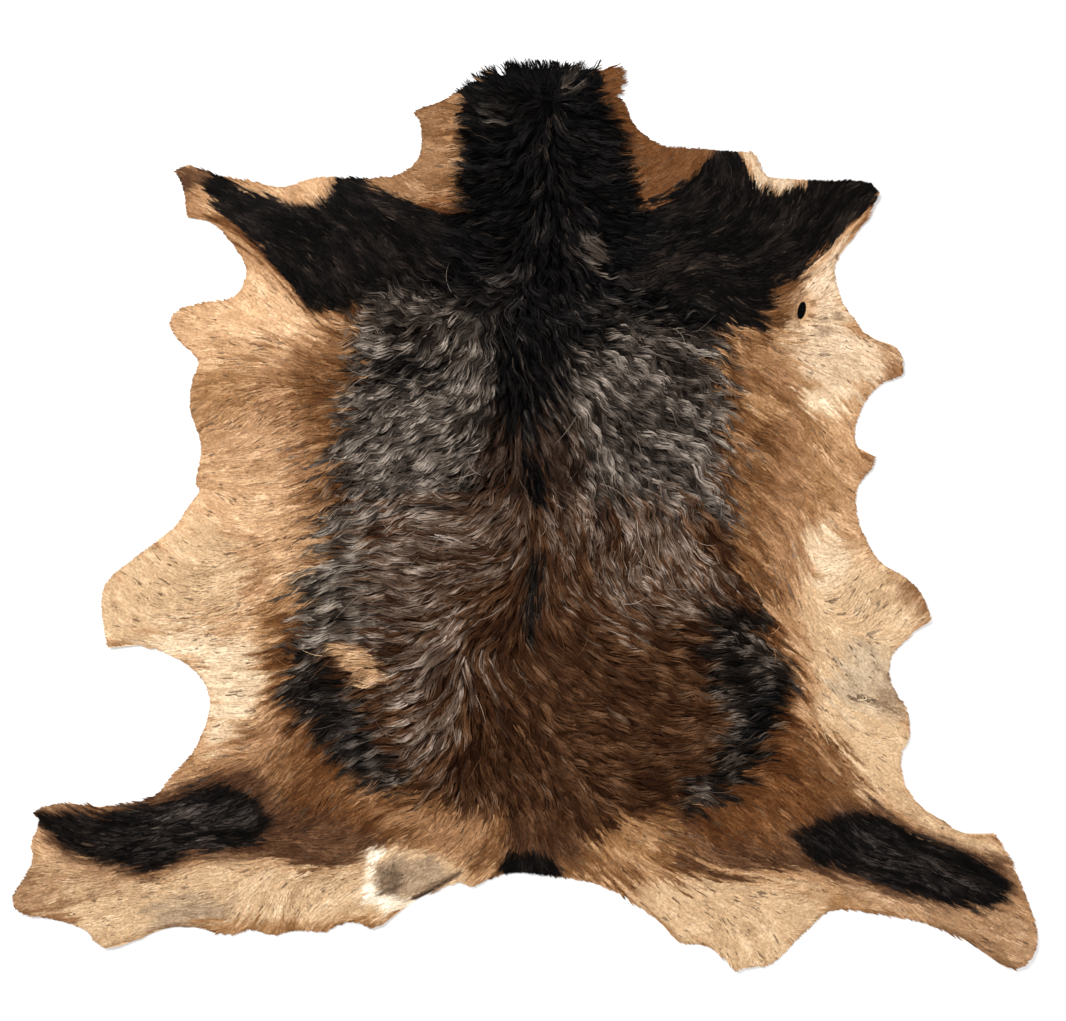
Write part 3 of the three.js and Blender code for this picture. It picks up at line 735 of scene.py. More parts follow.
        (242, -220), (224, -258), (196, -286), (168, -298), (150, -282), (188, -248), (198, -210),
        (188, -170), (176, -130),
    ]),
    ("black", 8, 5, 0.8, [
        (226, -168), (258, -170), (262, -184), (246, -204), (236, -224), (220, -238), (218, -214),
        (224, -194),
    ]),
    ("light tan", 4, 3, 1, [
        (-198, -128), (-180, -126), (-156, -134), (-146, -156), (-156, -173), (-178, -160),
    ]),
    ("black", 18, 20, 1, [
        (-150, 250), (-85, 232), (-43, 216), (-24, 178), (-16, 130), (-6, 104), (6, 92), (20, 104),
        (32, 136), (48, 174), (95, 208), (165, 212), (205, 206), (235, 200), (200, 260), (0, 300),
        (-130, 280),
    ]),
    ("grey back", 8, 9, 1, [(-170, 212), (-112, 222), (-84, 200), (-92, 168), (-168, 170)]),
    ("rust", 7, 4, 0.3, [
        (-326, 304), (-301, 287), (-261, 254), (-237, 225), (-213, 199), (-180, 194), (-160, 204),
        (-200, 224), (-230, 250), (-270, 285), (-300, 302),
    ]),
    ("rust", 7, 4, 0.3, [
        (345, 328), (349, 310), (322, 288), (306, 268), (283, 242), (264, 215), (254, 192), (238, 178),
        (226, 190), (250, 214), (270, 250), (306, 284),
    ]),
    ("shoulder black", 5, 2.5, 1, [
        (-340, 344), (-325, 346), (-300, 337), (-280, 325), (-253, 319), (-225, 309), (-203, 311),
        (-193, 330), (-180, 342), (-162, 342), (-150, 326), (-133, 320), (-100, 309), (-66, 297),
        (0, 290), (116, 308), (140, 316), (165, 338), (181, 356), (193, 366), (211, 364), (223, 346),
        (238, 324), (258, 323), (283, 336), (358, 338), (350, 314), (322, 292), (306, 272), (281, 246),
        (263, 222), (254, 198), (240, 182), (215, 190), (165, 216), (60, 244), (-60, 246), (-140, 224),
        (-180, 200), (-214, 204), (-234, 230), (-258, 262), (-285, 286), (-312, 312),
    ]),
    ("black", 5, 2.5, 1, [
        (-66, 300), (-69, 340), (-68, 400), (-62, 434), (-5, 460), (77, 456), (78, 426), (85, 408),
        (100, 381), (109, 356), (116, 308), (150, 280), (60, 210), (-30, 200), (-90, 272),
    ]),
    ("leg brown", 5, 6, 0.7, [
        (3, 46), (20, 48), (16, -10), (18, -80), (17, -126), (4, -128), (0, -80), (4, -10),
    ]),
    ("black", 6, 6, 0.8, [(2, 50), (24, 52), (20, 16), (13, 4), (5, 14)]),
    ("back black", 6, 6, 0.6, [(2, -36), (13, -40), (16, -84), (14, -122), (6, -128), (1, -84)]),
    ("grey back", 5, 9, 1, [(62, 284), (76, 282), (83, 258), (79, 236), (66, 238), (58, 260)]),
    ("sheen", 7, 10, 1, [(40, 296), (70, 230), (66, 200), (48, 206), (40, 250)]),
    ("back black", 8, 14, 1, [(-58, 412), (-30, 424), (-4, 410), (-10, 380), (-44, 376)]),
    ("sheen", 8, 10, 1, [(-36, 262), (-6, 280), (2, 236), (-12, 186), (-52, 184), (-70, 214)]),
    ("curl", 3, 5, 1, [(32, 438), (46, 445), (53, 430), (45, 420), (36, 426)]),
    ("light tan", 4, 3, 0.6, [
        (-252, 328), (-225, 334), (-195, 344), (-193, 332), (-202, 316), (-222, 312), (-244, 318),
    ]),
    ("lobe cream", 4, 3, 1, [
        (214, 368), (236, 368), (246, 338), (280, 342), (288, 338), (262, 326), (240, 324), (226, 342),
    ]),
    ("tip brown", 6, 4, 0.6, [
        (-352, 350), (-318, 352), (-312, 336), (-326, 328), (-332, 308), (-344, 300), (-346, 320),
    ]),
    ("brown tan", 5, 4, 0.4, [(-342, 318), (-326, 318), (-318, 292), (-340, 290)]),
    ("shoulder black", 7, 3, 0.7, [
        (-487, -296), (-430, -302), (-365, -286), (-318, -268), (-290, -266), (-268, -280),
        (-248, -302), (-262, -322), (-300, -334), (-330, -334), (-372, -353), (-415, -348),
        (-455, -332), (-476, -314),
    ]),
    ("shoulder black", 6, 2.5, 0.8, [
        (266, -317), (302, -298), (345, -294), (388, -316), (437, -334), (470, -350), (486, -368),
        (480, -384), (456, -388), (420, -388), (372, -372), (322, -356), (288, -346),
    ]),
    ("sheen", 8, 12, 1, [
        (-440, -306), (-365, -292), (-290, -270), (-262, -312), (-330, -328), (-400, -340),
    ]),
    ("sheen", 8, 16, 1, [(290, -322), (345, -308), (430, -340), (450, -368), (410, -372), (330, -350)]),
    ("shoulder black", 4, 3, 0.9, [
        (-12, -336), (8, -326), (26, -338), (36, -352), (30, -364), (-18, -362), (-24, -350),
    ]),
    ("cream", 4, 3, 0.6, [
        (-160, -336), (-140, -330), (-95, -330), (-60, -350), (-50, -372), (-110, -388), (-150, -396),
        (-162, -366),
    ]),
    ("bright edge", 3, 3, 0.4, [
        (-152, -330), (-140, -334), (-147, -350), (-146, -370), (-126, -381), (-100, -386), (-96, -394),
        (-130, -394), (-160, -384), (-160, -352),
    ]),
    ("thin grey", 4, 3, 0.2, [
        (-146, -344), (-125, -337), (-88, -340), (-74, -356), (-98, -376), (-128, -381), (-147, -370),
    ]),
    ("thin dark", 5, 3, 0.1, [(-147, -352), (-130, -348), (-120, -362), (-128, -377), (-146, -374)]),
    ("thin dark", 2, 1, 0.2, [
        (-110, -385), (-84, -371), (-62, -355), (-64, -353), (-86, -368), (-111, -382),
    ]),
    # marks on the thin parts
    ("rump", 7, 6, 0.4, [(246, 226), (262, 236), (270, 222), (262, 196), (248, 182), (238, 196)]),
    ("dusty tan", 4, 2, 0, [
        (264, 222), (276, 225), (289, 217), (291, 204), (286, 191), (274, 189), (264, 198),
    ]),
    ("thin grey", 2, 3, 0.3, [(305, 200), (312, 202), (322, 196), (318, 192), (308, 194)]),
    ("thin grey", 7, 4, 0, [(292, 196), (302, 194), (306, 182), (296, 180)]),
    ("thin dark", 2, 2, 0.3, [
        (322, -180), (340, -178), (360, -184), (360, -188), (340, -186), (322, -184),
    ]),
    ("thin grey", 9, 4, 0, [(350, -150), (368, -154), (378, -190), (366, -206), (352, -196)]),
    ("pale", 8, 8, 0.2, [(276, 128), (296, 134), (316, 124), (314, 106), (290, 100), (276, 108)]),
    ("pale", 12, 8, 0.2, [(280, -14), (296, -4), (322, -26), (318, -60), (296, -70), (282, -44)]),
    ("dusty tan", 6, 4, 0.3, [(350, 172), (378, 168), (378, 138), (360, 134)]),
    ("brown tan", 5, 4, 0.3, [(362, 146), (384, 156), (384, 138), (350, 128)]),
    ("brown tan", 6, 4, 0.3, [(338, 52), (352, 56), (352, 38), (336, 36)]),
    ("dusty tan", 7, 4, 0.2, [(366, -64), (388, -70), (404, -92), (390, -104), (370, -88)]),
    ("brown tan", 3, 3, 0.2, [(382, -66), (392, -70), (404, -96), (398, -98), (388, -82)]),
    ("thin grey", 12, 6, 0, [
        (-370, -388), (-330, -380), (-296, -388), (-300, -404), (-350, -418), (-374, -410),
    ]),
    ("dusty tan", 12, 8, 0.3, [
        (-520, -345), (-500, -338), (-462, -350), (-440, -346), (-408, -352), (-408, -370),
        (-450, -374), (-460, -396), (-520, -402),
    ]),
    ("brown tan", 5, 5, 0.3, [(-518, -388), (-484, -396), (-446, -408), (-450, -424), (-515, -408)]),
    ("gold", 6, 5, 0.2, [
        (-330, -408), (-290, -402), (-200, -404), (-150, -398), (-150, -412), (-330, -426),
    ]),
]
STREAK_WIDTH, STREAK_REACH, STREAK_SEED = 2.6, 18.0, 51
OTHER_STREAK_WIDTH, OTHER_STREAK_SEED = STREAK_WIDTH * 1.4, 53
SWAY, SWAY_PITCH, SWAY_SEED = 0.5, 21, 52
HAIR_BLEND = 0.24
FIRST_FINISH = "tan"


def finish_mix(points, own_luck):
    """For each point, a dark, a middle and a light colour in screen values, by its patches."""
    found = np.tile(np.array(FINISHES[FIRST_FINISH], float)[None], (len(points), 1, 1))
    streak = streaks(points, STREAK_WIDTH, STREAK_REACH, STREAK_SEED)
    streak = streak + SWAY * soft_noise(points, SWAY_PITCH, SWAY_SEED)
    other_streak = streaks(points, OTHER_STREAK_WIDTH, STREAK_REACH, OTHER_STREAK_SEED)
    for number, (name, softness, ragged, sides, ring) in enumerate(PATCHES):
        shift = ragged * (streak if number % 2 else other_streak)
        share = cover(points, ring, softness, shift) * THIN.get(name, 1)
        decided = smooth_step(share, own_luck - HAIR_BLEND, own_luck + HAIR_BLEND)
        share = (share * (1 - sides) + decided * sides)[:, None, None]
        found = found * (1 - share) + np.array(FINISHES[name], float) * share
    return found


def to_linear(screen):
    """Screen values from 0 to 255 as linear colour, by the curve that screens use."""
    value = np.clip(screen, 0, 255) / 255
    return np.where(value <= 0.04045, value / 12.92, ((value + 0.055) / 1.055) ** 2.4)


def tone(mix, level):
    """The colour at a level from 0, dark, over 0.5, middle, to 1, light."""
    low = np.clip(level * 2, 0, 1)[..., None]
    high = np.clip(level * 2 - 1, 0, 1)[..., None]
    return mix[:, 0] * (1 - low) + mix[:, 1] * (low - high) + mix[:, 2] * high


print("finishes", len(FINISHES), "patches", len(PATCHES))

# %% [markdown]
# ## The skin
# Under the hair lies a thin tanned skin: pale suede on its flat side, and seen from above only as the
# bed between the locks. It could be modelled apart from the solid, but its rim must be exactly the
# solid's outline, so the solid's own underside is cut into small squares with bisecting planes and
# given its thickness.

# %% Cut and thicken the skin
SKIN_THICKNESS = 1.6
SKIN_CELL = 15.0


def cut_into_cells(mesh, step):
    """Cuts a flat mesh along evenly spaced planes across X and across Y."""
    for axis in (0, 1):
        normal = Vector((1, 0, 0)) if axis == 0 else Vector((0, 1, 0))
        for place in np.arange(outline[:, axis].min() + step / 2, outline[:, axis].max(), step):
            bmesh.ops.bisect_plane(
                mesh, geom=mesh.verts[:] + mesh.edges[:] + mesh.faces[:], dist=TINY,
                plane_co=normal * float(place) * MM, plane_no=normal,
            )


cut_into_cells(solid, SKIN_CELL)
bmesh.ops.reverse_faces(solid, faces=solid.faces)
bmesh.ops.triangulate(solid, faces=solid.faces)
bmesh.ops.solidify(solid, geom=solid.faces[:], thickness=-SKIN_THICKNESS * MM)
bmesh.ops.recalc_face_normals(solid, faces=solid.faces)

skin_mesh = bpy.data.meshes.new("skin")
solid.to_mesh(skin_mesh)
solid.free()
skin = bpy.data.objects.new("skin", skin_mesh)
bpy.context.scene.collection.objects.link(skin)
heights = [v.co.z / MM for v in skin_mesh.vertices]
print("skin", len(skin_mesh.polygons), "faces")
print("its heights from", round(min(heights), 2), "to", round(max(heights), 2), "mm")

# %% [markdown]
# ## The undercoat
# Between the short hairs of a goat stands dense down, so their gaps are shallow. The skin's hair side
# is raised by a share of the coat's depth there, and keeps its own height at the rims and under the
# long hair. Down could be more strands, but nothing of it is seen singly, so a raised bed does the same
# for far fewer triangles.

# %% Raise the undercoat
DOWN_SHARE = 0.72
DOWN_RIM = (1.0, 14.0)
DOWN_COAT = (24.0, 29.0)


def raise_undercoat():
    """Lifts the hair side of the skin into the short coat."""
    co = np.array([v.co[:] for v in skin_mesh.vertices]) / MM
    spots = co[:, :2].copy()
    floor = sample(skin_base, spots)
    depth = sample(coat_top, spots) - floor - SKIN_THICKNESS
    share = smooth_step(ring_distance(spots, outline)[0], *DOWN_RIM)
    share *= smooth_step(ring_distance(spots, hole_rim)[0], *DOWN_RIM)
    share *= 1 - smooth_step(coat_at(spots)["length"], *DOWN_COAT)
    hair_side = co[:, 2] > floor + SKIN_THICKNESS / 2
    lift = np.where(hair_side, DOWN_SHARE * share * np.maximum(depth, 0), 0)
    co[:, 2] += lift
    skin_mesh.vertices.foreach_set("co", (co * MM).astype(np.float32).ravel())
    skin_mesh.update()
    mean_lift = float(lift[hair_side].mean())
    print("undercoat raised by up to", round(float(lift.max()), 2), "mm, mean", round(mean_lift, 2))


raise_undercoat()

# %% Colour the skin
HAIR_COLOUR = "hair_colour"
# The bed is painted 1.25 times lighter than its hair: painted light that lifts the shade in the gaps
# between strands.
BED_PAINTED_LIGHT, BED_LEVEL = 1.25, 0.56
MIDDLE_LUCK = 0.5


def add_colours(mesh, colours):
    """Stores linear colours, one for each vertex, under the name that the materials read."""
    layer = mesh.color_attributes.new(HAIR_COLOUR, "FLOAT_COLOR", "POINT")
    values = np.concatenate([colours, np.ones((len(colours), 1))], axis=1)
    layer.data.foreach_set("color", values.astype(np.float32).ravel())


places = np.array([[v.co.x, v.co.y] for v in skin_mesh.vertices]) / MM
bed_mix = finish_mix(places, np.full(len(places), MIDDLE_LUCK))
add_colours(skin_mesh, to_linear(tone(bed_mix, np.full(len(places), BED_LEVEL))) * BED_PAINTED_LIGHT)

# %% [markdown]
# ## Locks and strands
# Hair grows in locks. A lock starts from one root, follows the headings and swings from side to side,
# and its strands start spread round that root and draw together towards the tip. The swing's phase
# comes from the distance down the coat, so neighbouring locks ripple together, as combed hair does.
# Each strand is a narrow flat ribbon that tapers to a point, which costs few triangles and catches
# light along its length.

# %% Roots
ROW_SHARE = 0.866
ROOT_STRAY = 0.42


def roots(spacing, seed):
    """Roots on shifted rows, each a little astray."""
    luck = np.random.default_rng(seed)
    rows = np.arange(outline[:, 1].min(), outline[:, 1].max(), spacing * ROW_SHARE)
    places = []
    for k, y in enumerate(rows):
        x = np.arange(outline[:, 0].min() + (k % 2) * spacing / 2, outline[:, 0].max(), spacing)
        places.append(np.stack([x, np.full(len(x), y)], axis=1))
    places = np.concatenate(places)
    return places + luck.uniform(-ROOT_STRAY, ROOT_STRAY, places.shape) * spacing


def scatter(count, spread, luck):
    """Places strewn evenly over a disk round the root of a lock."""
    around = luck.uniform(0, 2 * np.pi, count)
    out = spread * np.sqrt(luck.uniform(0, 1, count))
    return np.stack([np.cos(around), np.sin(around)], axis=1) * out[:, None]


# %% [markdown]
# ### Hair at the rims
# A hide is trimmed from its flat side, so the hair ends just past the skin's edge, and only the mane
# hangs well over it. Strands are shortened until their tips keep within that overhang. Cutting them off
# along the outline would leave blunt ends.

# %% Trim hair at the rims
EDGE_GAP, HOLE_GAP = 0.8, 0.4
LEAST_FACING = 0.12
HOLE_CLEARING, SHORTEST_AT_HOLE, FREE_LENGTH = 26.0, 1.5, 1e3
TRIM_ROUNDS, TRIM_STEP, TRIM_SLACK = 3, 0.7, 0.5
ROOT_DEPTH, LEAST_COAT = 0.3, 1.2


def trim_lengths(starts, directions, lengths, overhang):
    """Shortens hair that would hang too far over the edge.

    Also says which starts lie on the hide, and how far each is from the edge.
    """
    distance, nearest, inside = ring_distance(starts, outline)
    outwards = (nearest - starts) / np.maximum(distance, TINY)[:, None]
    facing = np.clip((outwards * directions).sum(1), LEAST_FACING, 1)
    kept = inside & (distance > EDGE_GAP)
    hole_distance, _, in_hole = ring_distance(starts, hole_rim)
    kept &= ~in_hole & (hole_distance > HOLE_GAP)
    free = np.maximum(hole_distance, SHORTEST_AT_HOLE)
    to_hole = np.where(hole_distance < HOLE_CLEARING, free, FREE_LENGTH)
    lengths = np.minimum(np.minimum(lengths, (distance + overhang) / facing), to_hole)
    for _ in range(TRIM_ROUNDS):
        near = np.flatnonzero(kept & (distance < lengths))
        ends = starts[near] + directions[near] * lengths[near, None]
        beyond, _, end_inside = ring_distance(ends, outline)
        over = ~end_inside & (beyond > overhang[near] + TRIM_SLACK)
        lengths[near[over]] *= TRIM_STEP
    return lengths, kept, distance


def floor_and_depth(flat):
    """Where hair starts above each point, and how deep the coat is there, in millimetres."""
    spots = flat.reshape(-1, 2)
    base = sample(skin_base, spots).reshape(flat.shape[:-1]) + SKIN_THICKNESS - ROOT_DEPTH
    depth = sample(coat_top, spots).reshape(flat.shape[:-1]) - base
    return base, np.maximum(depth, LEAST_COAT)


# %% [markdown]
# ### What one lock is like
# Neighbouring locks differ a little in length, wave, heading, tone and depth. Half of that is luck of
# the single lock, and half changes slowly over the hide, which keeps the coat from looking evenly combed.

# %% Traits of the locks
# A pair is the least and the most that a lock or a strand takes of its coat's own value.
LONG_LENGTH = 26.5
LOCK_LENGTH, LOCK_WAVE, LOCK_SWING = (0.72, 1.18), (0.9, 1.12), (0.55, 1.2)
SWING_LIMITS = (0.4, 1.7)
PHASE_LUCK = 0.08
LONG_WANDER, SHORT_WANDER, STRAY_DEGREES = 15, 8, 5
LEAST_CONTRAST, WAVE_CONTRAST, CONTRAST_BEND = 0.62, 0.55, 30
TONE_STREAK, TONE_STREAK_WIDTH, TONE_STREAK_REACH, TONE_STREAK_SEED = 0.17, 4.5, 24, 41
TONE_LUCK = 0.08
LONG_LOWEST, SHORT_LOWEST = 0.45, 0.86
BORDER_LUCK = 0.09
# Slow changes over the hide: how strong each is, how far its bumps are apart, and its seed.
DRIFTS = {
    "swing": (0.55, 29, 37),
    "phase": (0.75, 39, 31),
    "quick phase": (0.28, 15, 32),
    "wander": (1.0, 27, 33),
    "quick wander": (7.0, 11, 34),
    "tone": (0.10, 38, 42),
    "rim": (0.6, 24, 35),
}


def drift(points, name):
    """The value at each point of one of the slow changes over the hide."""
    strength, pitch, seed = DRIFTS[name]
    return strength * soft_noise(points, pitch, seed)


def lock_traits(starts, luck):
    """What each lock is like: its length, its waves, its stray turn, its tone and its layer."""
    coat = coat_at(starts)
    count = len(starts)
    is_long = coat["length"] > LONG_LENGTH
    length = coat["length"] * luck.uniform(*LOCK_LENGTH, count)
    wave = coat["pitch"] * luck.uniform(*LOCK_WAVE, count)
    swing = wave / (2 * np.pi) * np.tan(np.radians(coat["bend"])) * luck.uniform(*LOCK_SWING, count)
    swing = swing * np.clip(1 + drift(starts, "swing"), *SWING_LIMITS)
    turns = sample(downstream, starts) / coat["pitch"]
    turns = turns + drift(starts, "phase") + drift(starts, "quick phase")
    phase = 2 * np.pi * (turns + PHASE_LUCK * luck.normal(size=count))
    wander = np.where(is_long, LONG_WANDER, SHORT_WANDER) * drift(starts, "wander")
    wander = wander + drift(starts, "quick wander")
    stray = np.radians(luck.normal(0, STRAY_DEGREES, count) + wander)
    contrast = LEAST_CONTRAST + WAVE_CONTRAST * np.clip(coat["bend"] / CONTRAST_BEND, 0, 1)
    streak = streaks(starts, TONE_STREAK_WIDTH, TONE_STREAK_REACH, TONE_STREAK_SEED)
    lock_tone = TONE_STREAK * streak + drift(starts, "tone")
    lock_tone = (lock_tone + TONE_LUCK * luck.normal(size=count)) * contrast
    layer = luck.uniform(np.where(is_long, LONG_LOWEST, SHORT_LOWEST), 1.0, count)
    border = MIDDLE_LUCK + BORDER_LUCK * luck.normal(size=count)
    return SimpleNamespace(
        is_long=is_long, length=length, wave=wave, swing=swing, phase=phase, stray=stray, tone=lock_tone,
        layer=layer, border=border, bend=coat["bend"], clump=coat["clump"], glint=coat["glint"],
    )


# %% [markdown]
# ### Depth and light in the coat
# A strand rises from the skin, follows its own layer of the coat and dips at its tip, and waved hair
# also bobs up and down with its swing. Tips are lighter. Light and shade are painted into the tones too:
# a highlight on the crests, light on the top of the coat, shade deeper in it, between locks and at the rim.

# %% Heights and tones along a strand
LAYER_LUCK, LAYER_LIMITS, SIDE_SAG = (0.94, 1.04), (0.2, 1.02), 0.16
LONG_RISE, SHORT_RISE, RISE_START = 0.36, 0.5, -0.05
SHORT_LIFT = 0.45
TIP_DROOP, DROOP_START = 0.14, 0.6
BOB, BOB_BEND, BOB_PHASE, BOB_START = 0.13, 36, 0.8, (0.1, 0.4)
HIGHEST = 1.12
# Painted highlight on the wave crests, with painted shade between them.
CREST_LIGHT, CREST_SHADE = 1.1, 0.3
TONE_MIDDLE, STRAND_TONE_LUCK = 0.47, 0.05
# TOP_LIGHT paints light on the top of the coat and shade on hair deeper in it; SIDE_SHADE paints shade at
# the sides of a lock, between locks.
TIP_LIGHT, TOP_LIGHT, LAYER_MIDDLE, SIDE_SHADE = 0.10, 0.26, 0.8, 0.14
# Painted shade on hair near the rim, where the edge curls down.
EDGE_SHADE, EDGE_SHADE_DEPTH, EDGE_SHADE_MIDDLE = 0.5, (1, 6.0), 0.6


def strand_heights(flat, s, phase, aside, own, luck):
    """The height of every point of the strands, and the layer of the coat that each strand lies in."""
    base, depth = floor_and_depth(flat)
    layer = own.layer[:, 0] * luck.uniform(*LAYER_LUCK, len(flat)) * (1 - SIDE_SAG * aside**2)
    layer = np.clip(layer, *LAYER_LIMITS)[:, None]
    rise = np.where(own.is_long, LONG_RISE, SHORT_RISE)
    lift = np.where(own.is_long, 0, SHORT_LIFT)
    droop = 1 - TIP_DROOP * smooth_step(s, DROOP_START, 1)
    bow = lift + (1 - lift) * smooth_step(s, RISE_START, rise) * droop
    bob = BOB * np.clip(own.bend / BOB_BEND, 0, 1) * np.sin(phase + BOB_PHASE)
    share = np.clip(layer * bow + bob * smooth_step(s, *BOB_START), 0, HIGHEST)
    return base + depth * share, layer


def strand_tones(s, phase, aside, layer, rim, own, luck):
    """Each point's tone, 0 to 1: lighter at tips, painted light on crests and on top, painted shade at
    sides and rim.
    """
    # A painted highlight where the wave crests, and painted shade in its troughs.
    crest_painted_light = own.glint * (CREST_LIGHT * np.maximum(np.sin(phase + BOB_PHASE), 0) ** 2 - CREST_SHADE)
    level = TONE_MIDDLE + own.tone + STRAND_TONE_LUCK * luck.normal(size=len(s))[:, None]
    # Add the painted crest highlight, lighter tips, and painted light on top of the coat with painted shade
    # under it.
    level = level + crest_painted_light + TIP_LIGHT * (s - 0.5) + TOP_LIGHT * (layer - LAYER_MIDDLE)
    # Painted shade at the sides of a lock, in the grooves between locks.
    level = level - (SIDE_SHADE * aside**2)[:, None]
    edge_distance, starts = rim
    # Hair near the rim is darkened: painted shade of the edge that curls down.
    painted_rim_shade = EDGE_SHADE * (1 - smooth_step(edge_distance, *EDGE_SHADE_DEPTH))
    level = level - (painted_rim_shade * (EDGE_SHADE_MIDDLE + drift(starts, "rim")))[:, None]
    return np.clip(level, 0, 1)


# %% Grow locks
STRAND_LENGTH, SHORTEST_STRAND = (0.78, 1.08), 2.5
OVERHANG, NECK_OVERHANG, OVERHANG_LUCK = 1.3, 9.0, (0.1, 1.2)
NECK_EDGE_Y, NECK_MIDDLE_X, NECK_HALF_WIDTH = 425, 25, 60
STRAND_PHASE_LUCK, STRAND_TURN_DEGREES = 0.26, 2.6
SWING_START, CLOSING_POWER = 0.25, 1.3
LONG_ROUNDNESS, SHORT_ROUNDNESS = 1.0, 0.15
WIDTH_LUCK, TIP_TAPER = (0.75, 1.25), 0.75
ROOT_WIDTH, ROOT_WIDENING = 0.55, 3
STRAND_BORDER_LUCK, BORDER_LIMITS = 0.13, (0.2, 0.8)
NEAR_SPOT, FAR_SPOT = 0.35, 0.8


def lock_paths(starts, length, stray, steps):
    """Each lock's middle line down the flow, and its direction at every step."""
    path = np.zeros((len(starts), steps + 1, 2))
    path[:, 0] = starts
    ahead = np.zeros_like(path)
    turn = np.stack([np.cos(stray), np.sin(stray)], axis=1)
    for k in range(steps + 1):
        east, north = flow_at(path[:, k]).T
        ahead[:, k, 0] = east * turn[:, 0] - north * turn[:, 1]
        ahead[:, k, 1] = east * turn[:, 1] + north * turn[:, 0]
        ahead[:, k] = unit(ahead[:, k])
        if k < steps:
            path[:, k + 1] = path[:, k] + ahead[:, k] * (length / steps)[:, None]
    return path, ahead


def between_steps(values, lock, at):
    """Each strand's values at its own places along its lock, blended between two steps of the lock."""
    low = np.minimum(at.astype(int), values.shape[1] - 2)
    t = (at - low)[..., None]
    return values[lock[:, None], low] * (1 - t) + values[lock[:, None], low + 1] * t


def grow(starts, per_lock, steps, spread, width, seed):
    """Strands of the locks at these starts.

    Gives points (strand, step, 3), widths and tones (strand, step), how far each strand rolls to its lock's
    side, a spot near its root and one near its tip, and its luck at the borders of patches.
    """
    luck = np.random.default_rng(seed)
    traits = lock_traits(starts, luck)
    strand_lock = np.repeat(np.arange(len(starts)), per_lock)
    offset = scatter(len(strand_lock), spread, luck)
    own_start = starts[strand_lock] + offset
    lock_length = traits.length[strand_lock]
    own_length = lock_length * luck.uniform(*STRAND_LENGTH, len(strand_lock))
    beside_neck = np.abs(own_start[:, 0] - NECK_MIDDLE_X)
    on_neck = (own_start[:, 1] > NECK_EDGE_Y) & (beside_neck < NECK_HALF_WIDTH)
    overhang = OVERHANG * luck.uniform(*OVERHANG_LUCK, len(strand_lock))
    overhang = np.where(on_neck, NECK_OVERHANG, overhang)
    own_heading = unit(flow_at(own_start))
    own_length, kept, edge_distance = trim_lengths(own_start, own_heading, own_length, overhang)
    kept &= own_length > SHORTEST_STRAND

    # from here on only the kept strands, each with its lock's traits
    lock = strand_lock[kept]
    own = SimpleNamespace(**{name: values[lock][:, None] for name, values in vars(traits).items()})
    offset, own_start = offset[kept], own_start[kept]
    s = np.linspace(0, 1, steps + 1)[None, :] * (own_length / lock_length)[kept][:, None]
    path, ahead = lock_paths(starts, traits.length, traits.stray, steps)
    middle = between_steps(path, lock, s * steps)
    along = between_steps(ahead, lock, s * steps)
    across = np.stack([-along[..., 1], along[..., 0]], axis=-1)
    phase = own.phase + 2 * np.pi * s * (own.length / own.wave)
    phase = phase + luck.normal(0, STRAND_PHASE_LUCK, len(lock))[:, None]
    side_swing = (own.swing * np.minimum(s / SWING_START, 1)) * np.sin(phase)
    side_turn = np.tan(np.radians(luck.normal(0, STRAND_TURN_DEGREES, len(lock))))[:, None]
    drawn = 1 - own.clump * s**CLOSING_POWER
    flat = middle + offset[:, None, :] * drawn[..., None]
    flat = flat + across * (side_swing + side_turn * s * own.length)[..., None]
    aside = (offset * across[:, 0]).sum(1) / spread
    roundness = np.where(own.is_long[:, 0], LONG_ROUNDNESS, SHORT_ROUNDNESS) * aside

    height, layer = strand_heights(flat, s, phase, aside, own, luck)
    points = np.concatenate([flat, height[..., None]], axis=-1)
    rim = (edge_distance[kept], own_start)
    level = strand_tones(s, phase, aside, layer, rim, own, luck)
    widths = width * luck.uniform(*WIDTH_LUCK, len(lock))[:, None] * (1 - TIP_TAPER * s**2)
    widths = widths * np.minimum(1, ROOT_WIDTH + s * ROOT_WIDENING)
    border = own.border[:, 0] + luck.normal(0, STRAND_BORDER_LUCK, len(lock))
    spots = [flat[:, round(place * steps)] for place in (NEAR_SPOT, FAR_SPOT)]
    return points, widths, level, roundness, spots, np.clip(border, *BORDER_LIMITS)


# %% [markdown]
# ### From strands to ribbons
# Hair could be curves with a bevel, but a mesh of ribbons has a known count: two triangles for a step,
# and one for the last. Each ribbon rolls towards the side of its lock, so that a long lock looks round.

# %% Turn strands into a mesh
ROLL_DEGREES = 6.0
LOCK_ROUNDNESS_DEGREES = 30.0


